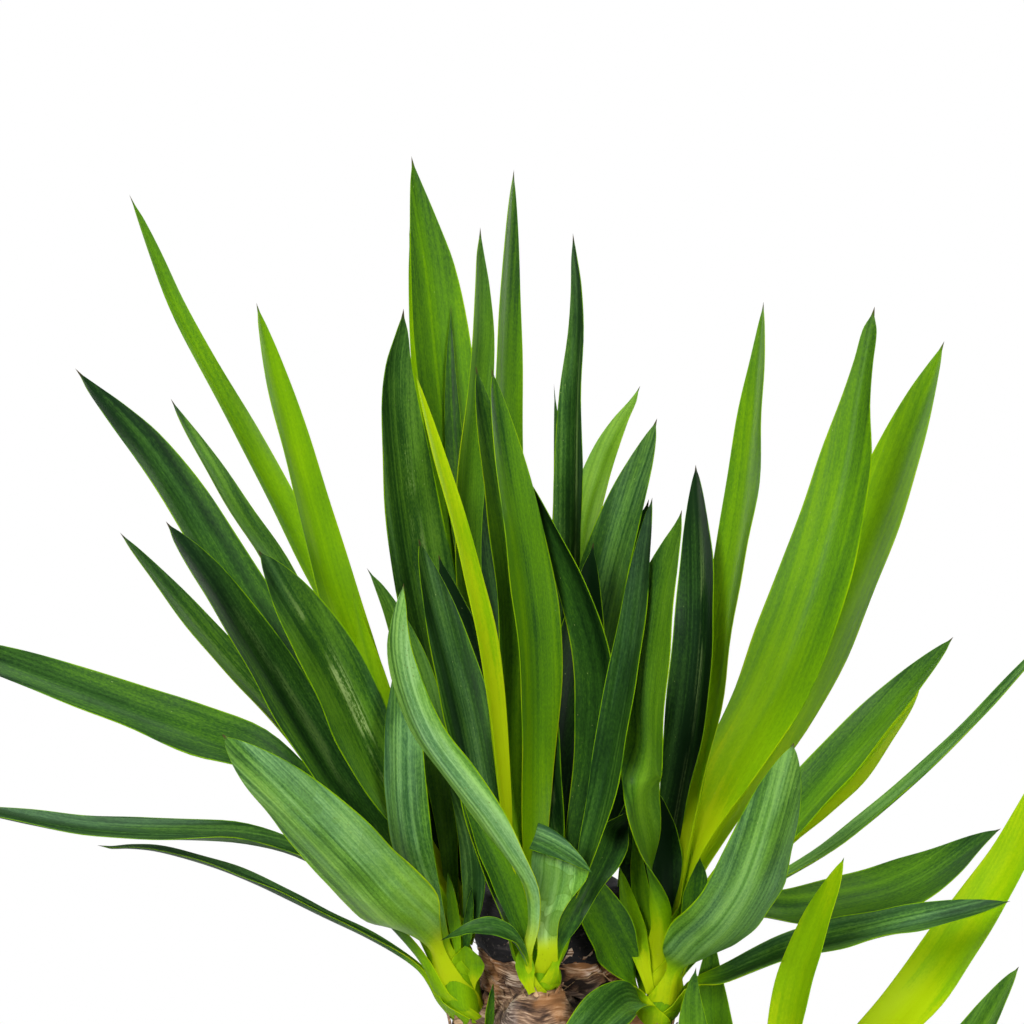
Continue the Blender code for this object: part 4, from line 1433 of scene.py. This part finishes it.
# %% Where the small leaves stand
FRONT = (0.0, -1.0, 0.25)
SMALL_LEAVES = {
    "left": [
        ((-2, 6, 16), (-14, 22, 122), (-45, 30, 197), 17, FRONT, (0.36, 0.2)),
        ((-4, 12, 30), (-34, 24, 115), (-52, 32, 184), 14, FRONT, (0.82, 0.0)),
        ((-6, 10, 22), (-41, 30, 76), (-58, 36, 116), 24, FRONT, (0.02, 0.0)),
        ((0, -6, 2), (8.5, -9, 50), (-6, -10, 104), 12, (-0.2, -1.0, 0.1), (0.10, 0.45)),
        ((2, -11, 2), (-1, -15, 27), (-4, -15, 52), 6, FRONT, (0.40, 0.0)),
        ((4, -10, 2), (6, -12, 22), (8, -12, 43), 5, FRONT, (0.30, 0.0)),
        ((-4, 4, 4), (-31, 10, 46), (-45, 16, 96), 24, FRONT, (0.0, 0.0)),
        ((0, 6, 14), (-3, 18, 74), (-11, 30, 140), 22, FRONT, (0.0, 0.0)),
        ((-5, 6, 0), (-40, 44, 36), (-66, 78, 36), 26, (-0.3, 0.2, 1.0), (0.20, 0.1)),
        ((-2, 8, 6), (-35, 60, 60), (-65, 118, 84), 28, (-0.2, -0.4, 1.0), (0.24, 0.1)),
        ((6, -7, -12), (5.5, -12.5, 1), (4.5, -13.5, 13), 17, FRONT, (0.66, 0.0)),
    ],
    "centre": [
        ((-6, -15, 15), (-22, -31, 38), (-50, -28, 30), 11, (0.0, -0.6, 0.8), (0.16, 0.1)),
        ((-5, -10, -2), (-8.5, -14, 12), (-9, -15, 27), 9, FRONT, (0.62, 0.0)),
        ((-4, -10, 12), (-19, -17, 60), (-42, -20, 108), 15, (0.4, -1.0, 0.1), (0.34, 0.0)),
        ((-3, 16, 46), (-30, 52, 126), (-52, 64, 205), 28, FRONT, (0.0, 0.0)),
        ((0, 17, 46), (-8, 60, 140), (-14, 76, 232), 28, FRONT, (0.0, 0.0)),
        ((4, 17, 46), (16, 60, 130), (26, 70, 210), 28, FRONT, (0.0, 0.0)),
        ((9, 14, 46), (34, 40, 96), (52, 48, 148), 26, FRONT, (0.02, 0.0)),
        ((-6, 12, 44), (-26, 36, 94), (-44, 46, 150), 26, FRONT, (0.0, 0.0)),
    ],
    "right": [
        ((13, -8, 14), (17, -12, 42), (19, -14, 68), 14, FRONT, (0.24, 0.0)),
        ((-5, -9, -4), (-13, -12, 28), (-21, -10, 62), 11, FRONT, (0.60, 0.0)),
        ((-3, -5, 4), (-9, -4, 38), (-14, 0, 80), 10, FRONT, (0.48, 0.0)),
        ((-6, 4, -8), (-11, 8, 30), (-17, 12, 84), 20, FRONT, (0.10, 0.0)),
        ((-4, 4, 30), (-17, 14, 80), (-27, 20, 128), 25, FRONT, (0.0, 0.0)),
        ((0, 2, 24), (0, 6, 60), (-2, 8, 98), 22, FRONT, (0.0, 0.0)),
        ((5, 6, 0), (44, 60, 22), (78, 112, 14), 28, (0.3, 0.2, 1.0), (0.22, 0.1)),
    ],
    "back": [
        ((0, 0, 44), (14, 30, 150), (12, 60, 272), 10, FRONT, (0.45, 0.0)),
        ((-2, 2, 44), (-34, 30, 190), (-42, 70, 312), 12, FRONT, (0.30, 0.0)),
        ((-4, 4, 44), (-47, 45, 200), (-64, 75, 353), 10, FRONT, (0.78, 0.0)),
        ((-6, 4, 4), (-36, 24, 50), (-84, 44, 58), 28, (-0.3, 0.0, 1.0), (0.22, 0.2)),
        ((-4, 6, 8), (-30, 54, 70), (-62, 96, 98), 30, (-0.3, -0.5, 1.0), (0.28, 0.2)),
        ((0, 8, 4), (-2, 62, 44), (-6, 126, 40), 28, (0.0, 0.0, 1.0), (0.34, 0.6)),
        ((4, 6, 8), (30, 58, 66), (58, 104, 90), 30, (0.3, -0.5, 1.0), (0.26, 0.1)),
        ((7, 4, 4), (46, 26, 44), (94, 50, 52), 26, (0.3, 0.0, 1.0), (0.20, 0.1)),
        ((2, 6, 20), (14, 60, 108), (26, 110, 166), 32, (0.0, -1.0, 0.5), (0.36, 0.0)),
        ((-2, 6, 24), (-22, 52, 118), (-46, 98, 190), 32, (0.0, -1.0, 0.4), (0.30, 0.1)),
        ((5, 4, 24), (36, 34, 92), (60, 64, 128), 28, (-0.3, -1.0, 0.4), (0.24, 0.1)),
    ],
    "lower": [
        ((-8, -4, 16), (-35, -18, 86), (-38, -30, 143), 18, FRONT, (0.42, 0.1)),
        ((-5, 2, 20), (-26, 2, 84), (-28, 4, 152), 24, FRONT, (0.40, 0.0)),
        ((2, -6, -4), (30, -46, 30), (70, -92, 28), 28, (0.2, -0.2, 1.0), (0.30, 0.5)),
        ((7, 0, 0), (60, 6, 36), (128, 14, 44), 30, (0.0, 0.0, 1.0), (0.26, 0.1)),
        ((4, 5, 2), (44, 50, 60), (88, 96, 84), 28, (-0.2, -0.3, 1.0), (0.32, 0.1)),
        ((-1, 6, 4), (6, 60, 50), (14, 128, 62), 28, (0.0, -0.2, 1.0), (0.22, 0.2)),
        ((-4, -6, 2), (-22, -56, 46), (-46, -112, 54), 26, (0.0, 0.2, 1.0), (0.36, 0.2)),
        ((3, -4, 20), (30, -30, 76), (52, -60, 88), 26, (-0.4, 0.5, 1.0), (0.46, 0.0)),
        ((2, 4, 24), (36, 26, 80), (66, 50, 86), 26, (-0.4, -0.3, 1.0), (0.50, 0.0)),
        ((0, 0, 36), (6, 8, 90), (14, 10, 96), 12, (0.0, -1.0, 0.3), (0.70, 0.0)),
    ],
}
print("small leaves:", sum(len(leaves) for leaves in SMALL_LEAVES.values()))

# %% Grow the small leaves
for shoot, leaves in SMALL_LEAVES.items():
    crown = crowns[shoot]
    heap = Heap()
    for number, (foot, middle, tip, width, facing, (tone, bloom)) in enumerate(leaves):
        foot, middle, tip = (crown + Vector(p) * MM for p in (foot, middle, tip))
        cuts = bent_cuts(foot, middle, tip, width * MM, Vector(facing))
        seed = 1000 + 50 * SHOOTS.index(shoot) + number
        heap.add(*leaf_mesh(cuts, tip, look_of(tone, bloom), 0.4, seed))
    heap.put(f"{shoot}_small_leaves", leaf_paint, "leaf")
    print(shoot, "small leaves:", len(leaves))

# %% [markdown]
# ### The folded tip
# The end of the folded leaf hangs forward over its own face, from the fold down to a needle. It
# could be the end of the same mesh, but so sharp a turn would crush its rows together. So it is
# one more small leaf, laid along the fold and turned to the front.

# %% The folded tip
FOLD = ((-4.5, -35, 84.5), (9.5, -37, 78), (24, -33, 65.5))
foot, middle, tip = (crowns["centre"] + Vector(p) * MM for p in FOLD)
cuts = bent_cuts(foot, middle, tip, 13.5 * MM, Vector((0.15, -1.0, 0.3)), FLAP_SHARES)
points, faces, marks = leaf_mesh(cuts, tip, look_of(0.16, 0.45), 0.0, 78)
marks["along"] = [0.3 + 0.5 * value for value in marks["along"]]
put("folded_tip", points, faces, leaf_paint, marks)
print("folded tip:", round((tip - foot).length / MM), "mm long")

# %% [markdown]
# ### A bud on the trunk
# Low on the bark a thin young blade has broken out on its own. It is read from its solid like a
# long leaf, but has no stem to wrap, so it is grown without a sheath.

# %% The bud on the trunk
below = middle_of([vertex.co for vertex in nodes["bud_sprout"].data.vertices]) - UP * 40.0 * MM
cuts, tip = read_leaf(nodes["bud_sprout"], below)
points, faces, marks = leaf_mesh(cuts, tip, look_of(0.30), 0.2, 77)
put("bud_blade", points, faces, leaf_paint, marks, ["bud_sprout"])
print("bud:", len(cuts), "sections")

# %% [markdown]
# ## Potting mix
# The mix is peat, chips of bark and a little white perlite. A bumpy disc alone reads as felt
# from close by, so a lumpy body fills the pot and several hundred real crumbs lie on it.

# %% Sizes of the pot and its filling
SOIL_TOP = 0.166
SOIL_CROWN = 0.004
POT_HEIGHT = 0.190
POT_FOOT_RADIUS = 0.084
POT_TOP_RADIUS = 0.114
POT_RIM_RADIUS = 0.121
POT_RIM_HEIGHT = 0.034
POT_WALL = 0.007
POT_FLOOR = 0.009


def pot_radius(height):
    """The pot's outer radius below its rim."""
    return POT_FOOT_RADIUS + (POT_TOP_RADIUS - POT_FOOT_RADIUS) * height / POT_HEIGHT


print("the pot is", round(pot_radius(SOIL_TOP) / MM), "mm in radius at the top of the mix")


# %% Soil material
def soil_material():
    paint = Paint("potting_mix")
    here, kind = paint.here(), paint.mark("kind")
    lumps = paint.noise(here, (220.0, 220.0, 220.0), 5.0, 0.65)
    grit = paint.noise(here, (1400.0, 1400.0, 1400.0), 3.0, 0.6)
    stops = [(0.36, (0.010, 0.006, 0.004)), (0.50, (0.040, 0.024, 0.015)), (0.66, (0.105, 0.068, 0.042))]
    peat = paint.ramp(lumps * 0.5 + grit * 0.5, stops)
    chip = paint.ramp(grit, [(0.35, (0.085, 0.040, 0.020)), (0.65, (0.24, 0.13, 0.07))])
    white = paint.ramp(grit, [(0.35, (0.58, 0.56, 0.52)), (0.65, (0.82, 0.81, 0.78))])
    coloured = paint.blend(kind.step(0.25, 0.30), peat, chip)
    coloured = paint.blend(kind.step(0.75, 0.80), coloured, white)
    damp = lumps.step(0.60, 0.42)
    coloured = paint.blend(damp * 0.35, coloured, (0.006, 0.004, 0.003))
    relief = paint.bump(lumps + grit * 0.6, 1.2 * MM, 0.9)
    return paint.finish(paint.surface_of(coloured, 0.95 - damp * 0.2, relief, 1.33))


soil_paint = soil_material()
print("soil material nodes:", len(soil_paint.node_tree.nodes))

# %% The body of the mix
SOIL_AROUND = 160
SOIL_GAP = 0.7 * MM
TOP_RINGS = 52


def soil_height(x, y):
    """The lumpy top of the mix, which sinks a little to the wall and rises to the canes."""
    away = math.hypot(x, y) / pot_radius(SOIL_TOP)
    lump = noise.noise(Vector((x * 60.0, y * 60.0, 2.0))) * 1.6
    lump += noise.noise(Vector((x * 190.0, y * 190.0, 5.0))) * 0.9
    return SOIL_TOP + SOIL_CROWN * (1.0 - away**2) + lump * MM - 1.2 * MM


def level_ring(radius, height, turns):
    """A level circle of points round the axis of the pot."""
    return [spoke(a) * radius + UP * height for a in turns]


turns = around(SOIL_AROUND)
inner = pot_radius(SOIL_TOP) - POT_WALL - 0.6 * MM
bottom = POT_FLOOR + 0.4 * MM
rows = []
for radius in (20.0 * MM, pot_radius(POT_FLOOR) - POT_WALL - 4.4 * MM):
    rows.append(level_ring(radius, bottom, turns))
for t in (0.05, 0.25, 0.5, 0.75, 0.97):
    height = POT_FLOOR + (SOIL_TOP - POT_FLOOR) * t
    rows.append(level_ring(pot_radius(height) - POT_WALL - SOIL_GAP, height, turns))
for step in range(TOP_RINGS):
    radius = inner * (1.0 - step / (TOP_RINGS + 0.5)) - 0.2 * MM
    row = [(math.cos(a) * radius, math.sin(a) * radius) for a in turns]
    rows.append([Vector((x, y, soil_height(x, y))) for x, y in row])
points, faces = skin(rows)
put("soil_body", points, faces, soil_paint, {"kind": [0.0] * len(points)}, ["soil"], 80.0)
print("soil radius:", round(inner / MM, 1), "mm")

# %% [markdown]
# ### Crumbs, bark chips and perlite
# Every crumb is one small ball of triangles, pulled out of shape by noise of its own, made flat
# if it is a chip of bark, turned at random and pressed a little way into the mix. They are
# gathered into one piece, since hundreds of separate objects would only slow the scene. Each
# kind has the number that picks its colour, a count, and its least and greatest size in mm.


# %% The shape of a crumb
def lump_shape():
    """The points and faces of a small ball of triangles, to be pulled out of shape."""
    mesh = bmesh.new()
    bmesh.ops.create_icosphere(mesh, subdivisions=2, radius=1.0)
    points = [vertex.co.copy() for vertex in mesh.verts]
    faces = [tuple(vertex.index for vertex in face.verts) for face in mesh.faces]
    mesh.free()
    return points, faces


LUMP_POINTS, LUMP_FACES = lump_shape()
print("a crumb has", len(LUMP_FACES), "faces")

# %% Crumbs over the mix
CRUMB_KINDS = {
    "peat": (0.0, 620, (1.2, 3.6)),
    "chip": (0.5, 190, (2.0, 5.2)),
    "perlite": (1.0, 70, (0.9, 1.9)),
}
CRUMB_SEED = 8
CLEAR_OF_CANES = 26.0 * MM


def crumb(spot, size, flat, turned, shift):
    """The points of one crumb: a ball swollen by noise, flattened, turned and put in its place."""
    points = []
    for p in LUMP_POINTS:
        swell = 1.0 + 0.45 * noise.noise(p * 1.3 + UP * shift) + 0.2 * noise.noise(p * 3.1 + UP * shift)
        q = Vector((p.x * flat[0], p.y * flat[1], p.z * flat[2])) * (size * swell)
        q.rotate(turned)
        points.append(spot + q)
    return points


draw = random.Random(CRUMB_SEED)
cane_feet = [cane.outline(SOIL_TOP, 0.0)[0].to_2d().to_3d() for cane in canes.values()]
crumbs = Heap()
for title, (kind, count, (least, most)) in CRUMB_KINDS.items():
    for _ in range(count):
        angle, away = draw.uniform(0.0, 2.0 * math.pi), inner * math.sqrt(draw.uniform(0.0, 1.0)) * 0.975
        size = draw.uniform(least, most) * MM
        spot = spoke(angle) * away
        if any((spot - foot).length < CLEAR_OF_CANES for foot in cane_feet):
            continue
        flat = (1.0, 0.85, 0.75)
        if title == "chip":
            flat = (1.0, draw.uniform(0.45, 0.8), draw.uniform(0.2, 0.4))
        turned = Euler((draw.uniform(-0.5, 0.5), draw.uniform(-0.5, 0.5), draw.uniform(0.0, 6.3)))
        shift = draw.uniform(0.0, 90.0)
        spot.z = soil_height(spot.x, spot.y) + size * flat[2] * 0.35
        crumbs.add(crumb(spot, size, flat, turned, shift), LUMP_FACES, {"kind": [kind] * len(LUMP_POINTS)})
crumbs.put("soil_crumbs", soil_paint, "soil", (), 35.0)
print("crumbs:", len(crumbs.points) // len(LUMP_POINTS))

# %% [markdown]
# ## Clay pot
# The pot is plain terracotta: thrown on a wheel, so fine rings run round it, with a thick
# rolled rim and lime that has dried in pale clouds. A lathe profile gives the whole wall at
# once, inside and out, and the drain holes are cut through its floor afterwards.

# %% Clay material
def clay_material():
    paint = Paint("terracotta")
    here = paint.here()
    cloud = paint.noise(here, (16.0, 16.0, 22.0), 4.0, 0.6)
    grit = paint.noise(here, (1300.0, 1300.0, 1300.0), 3.0, 0.7)
    rings = paint.noise(here, (3.0, 3.0, 420.0), 2.0)
    stops = [(0.34, (0.315, 0.110, 0.052)), (0.50, (0.430, 0.175, 0.090)), (0.66, (0.540, 0.255, 0.150))]
    clay = paint.ramp(cloud * 0.6 + grit * 0.4, stops)
    clay = paint.blend(rings.step(0.46, 0.66) * 0.22, clay, (0.58, 0.30, 0.19))
    height = paint.add("ShaderNodeSeparateXYZ", None, {0: here}, out=2)
    lime = paint.noise(here, (42.0, 42.0, 60.0), 6.0, 0.68).step(0.52, 0.70)
    lime = lime * (height.step(0.085, 0.0) * 0.8 + height.step(0.125, 0.165) * 0.6 + 0.12)
    clay = paint.blend(lime * 0.65, clay, (0.66, 0.52, 0.43))
    speck = paint.cells(here, (330.0, 330.0, 330.0)).step(0.16, 0.08)
    clay = paint.blend(speck * 0.45, clay, (0.17, 0.060, 0.035))
    relief = paint.bump(rings * 0.8 + grit * 0.35 + cloud * 0.6, 0.5 * MM, 0.8)
    return paint.finish(paint.surface_of(clay, 0.80 + grit * 0.18, relief, 1.4, 0.35))


clay_paint = clay_material()
print("clay material nodes:", len(clay_paint.node_tree.nodes))


# %% Pieces of a profile
def arc(centre, radius, start, stop, steps=6):
    """Points of a rounded corner in a lathe profile: (distance from the axis, height)."""
    angles = [math.radians(start + (stop - start) * i / steps) for i in range(steps + 1)]
    return [(centre[0] + radius * math.cos(a), centre[1] + radius * math.sin(a)) for a in angles]


def run(first, last, steps):
    """Evenly spaced points between two points of a profile, without the ends."""
    ends = Vector(first), Vector(last)
    return [tuple(ends[0].lerp(ends[1], i / steps)) for i in range(1, steps)]


print("a rounded corner has", len(arc((0.0, 0.0), MM, 0, 90)), "points")

# %% The profile of the wall
RIM_FOOT = POT_HEIGHT - POT_RIM_HEIGHT
NEAR_AXIS = 12 * MM
outer_foot = arc((POT_FOOT_RADIUS - 3 * MM, 3 * MM), 3 * MM, -90, 0)
neck = pot_radius(RIM_FOOT)
under_rim = [(neck + 0.2 * MM, RIM_FOOT - 1 * MM), (neck + 1.6 * MM, RIM_FOOT)]
rim_low = arc((POT_RIM_RADIUS - 4 * MM, RIM_FOOT + 3.2 * MM), 3.2 * MM, -90, 0)
rim_high = arc((POT_RIM_RADIUS - 3.4 * MM, POT_HEIGHT - 3.4 * MM), 3.4 * MM, 0, 90)
rim_inner = arc((POT_TOP_RADIUS - POT_WALL + 3 * MM, POT_HEIGHT - 3 * MM), 3 * MM, 90, 180)
inner_foot = arc((pot_radius(POT_FLOOR) - POT_WALL - 5 * MM, POT_FLOOR + 5 * MM), 5 * MM, 0, -90)
profile = [(NEAR_AXIS, 0.0), (POT_FOOT_RADIUS - 12 * MM, 0.0), *outer_foot]
profile += run(outer_foot[-1], under_rim[0], 22) + under_rim + rim_low + run(rim_low[-1], rim_high[0], 6)
profile += rim_high + rim_inner + run(rim_inner[-1], inner_foot[0], 16) + inner_foot
profile += [(POT_FOOT_RADIUS * 0.6, POT_FLOOR), (NEAR_AXIS, POT_FLOOR)]
print("pot profile points:", len(profile))

# %% Turn the wall
POT_AROUND = 192
rows = []
for radius, height in profile:
    thrown = (radius > 70 * MM) * (0.004 < height < POT_HEIGHT - 0.004)
    row = []
    for a in around(POT_AROUND):
        sway = 0.35 * noise.noise(spoke(a) + UP * height * 14.0)
        ring = 0.16 * math.sin(height * 1150.0 + 0.8 * math.sin(a))
        grown = radius + (sway + ring) * MM * thrown
        row.append(Vector((math.cos(a) * grown, math.sin(a) * grown, height)))
    rows.append(row)
points, faces = skin(rows)
pot = put("clay_pot", points, faces, clay_paint, None, ["pot"], 40.0)
print("pot faces:", len(faces))

# %% [markdown]
# ### Drain holes
# Four holes through the floor let the water out. Round holes don't fit the spokes of a turned
# floor, so they are not left open in its faces: a Boolean modifier cuts them with four plugs. Its
# result is kept as the pot's own mesh, and the plugs are thrown away.

# %% Drain holes
DRAIN_RADIUS = 7 * MM
DRAIN_CIRCLE = 45 * MM
DRAIN_COUNT = 4
DRAIN_SIDES = 40
DRAIN_PROFILE = ((-2 * MM, DRAIN_RADIUS + 1.2 * MM), (0.8 * MM, DRAIN_RADIUS), (12 * MM, DRAIN_RADIUS))
bores = Heap()
for i in range(DRAIN_COUNT):
    middle = spoke(2.0 * math.pi * (i + 0.5) / DRAIN_COUNT) * DRAIN_CIRCLE
    rows = [
        ring_round(middle + UP * height, UP, lambda a: radius * (1.0 + 0.03 * math.sin(3 * a)), DRAIN_SIDES)
        for height, radius in DRAIN_PROFILE
    ]
    bores.add(*skin(rows), {})
cutter = bores.put("drain_bores", clay_paint, "clay")
cut = pot.modifiers.new("drains", "BOOLEAN")
cut.operation = "DIFFERENCE"
cut.solver = "EXACT"
cut.object = cutter
bpy.context.view_layer.update()
bored = bpy.data.meshes.new_from_object(pot.evaluated_get(bpy.context.evaluated_depsgraph_get()))
pot.modifiers.clear()
pot.data = bored
bpy.data.objects.remove(cutter)
print("pot faces after boring:", len(bored.polygons))

# %% [markdown]
# ## Lights and camera
# A product picture of a plant is taken on white, with broad soft lights from above on both
# sides and light from behind that comes through the blades. Area lights give that; a sky or a
# single sun would leave hard shadows in the crown. Each row says where a light stands, the point
# that it faces, how wide and high it is in metres, and its power in watts.

# %% Floor
FLOOR_RADIUS = 1.05
FLOOR_DROP = 0.3 * MM
FLOOR_SIDES = 96


def floor_material():
    paint = Paint("pale_floor")
    here = paint.here()
    span = paint.add("ShaderNodeVectorMath", {"operation": "LENGTH"}, {0: here}, out=1)
    grain = paint.noise(here, (300.0, 300.0, 300.0))
    white = paint.ramp(grain, [(0.3, (0.86, 0.86, 0.85)), (0.7, (0.90, 0.90, 0.89))])
    inputs = {"Base Color": white, "Roughness": 0.7, "Alpha": span.step(1.05, 0.45)}
    return paint.finish(paint.add("ShaderNodeBsdfPrincipled", None, inputs))


plate = bpy.data.meshes.new("floor")
plate.from_pydata(level_ring(FLOOR_RADIUS, -FLOOR_DROP, around(FLOOR_SIDES)), [], [list(range(FLOOR_SIDES))])
plate.materials.append(floor_material())
floor = bpy.data.objects.new("floor", plate)
bpy.context.scene.collection.objects.link(floor)
print("floor radius:", FLOOR_RADIUS, "m")

# %% Soft lights
LIGHTS = {
    "key": ((-0.9, -1.9, 1.6), (-0.05, 0.0, 0.58), (0.8, 0.8), 70.0),
    "fill": ((1.1, -1.9, 1.0), (0.0, 0.0, 0.55), (0.9, 0.9), 41.0),
    "top": ((0.1, 0.3, 2.4), (0.0, 0.0, 0.6), (1.2, 0.8), 34.0),
    "rim_left": ((-1.6, 1.3, 1.3), (0.0, 0.0, 0.6), (0.8, 1.2), 26.0),
    "rim_right": ((1.5, 1.5, 1.2), (0.0, 0.0, 0.6), (0.8, 1.2), 34.0),
}
for name, (at, toward, size, watts) in LIGHTS.items():
    light = bpy.data.lights.new(name, "AREA")
    light.shape = "RECTANGLE"
    light.size, light.size_y = size
    light.energy = watts
    lamp = bpy.data.objects.new(name, light)
    lamp.location = at
    lamp.rotation_euler = (Vector(toward) - Vector(at)).to_track_quat("-Z", "Y").to_euler()
    bpy.context.scene.collection.objects.link(lamp)
print("lights:", *LIGHTS)

# %% [markdown]
# ### A white room
# The ground behind the plant has to be pure white, but a world that bright would wash out every
# shadow. A white wall behind the pot would do from one side only. So the world shows full white
# where it is seen directly, and lights the plant faintly.

# %% The white room
WHITE = (1.0, 1.0, 1.0, 1.0)
ROOM_GLOW = 0.17
room = Nodes("white_room", "worlds")
lit = room.add("ShaderNodeBackground", None, {"Color": WHITE, "Strength": ROOM_GLOW})
seen = room.add("ShaderNodeBackground", None, {"Color": WHITE, "Strength": 1.0})
choice = {0: room.add("ShaderNodeLightPath"), 1: lit, 2: seen}
bpy.context.scene.world = room.finish(room.add("ShaderNodeMixShader", None, choice), "ShaderNodeOutputWorld")
print("the room glows at", ROOM_GLOW)

# %% Camera
CAMERA_TARGET = Vector((-0.05, 0.0, 0.654))
CAMERA_DISTANCE = 2.2
CAMERA_ELEVATION = math.radians(10.0)
camera_data = bpy.data.cameras.new("camera")
camera_data.sensor_width = 36.0
camera_data.lens = 154.7
camera_data.clip_start = 0.1
camera = bpy.data.objects.new("camera", camera_data)
back = Vector((0.0, -math.cos(CAMERA_ELEVATION), math.sin(CAMERA_ELEVATION)))
camera.location = CAMERA_TARGET + back * CAMERA_DISTANCE
camera.rotation_euler = (-back).to_track_quat("-Z", "Y").to_euler()
bpy.context.scene.collection.objects.link(camera)
bpy.context.scene.camera = camera
bpy.context.scene.view_settings.view_transform = "Standard"
print("camera at", tuple(round(c, 3) for c in camera.location))
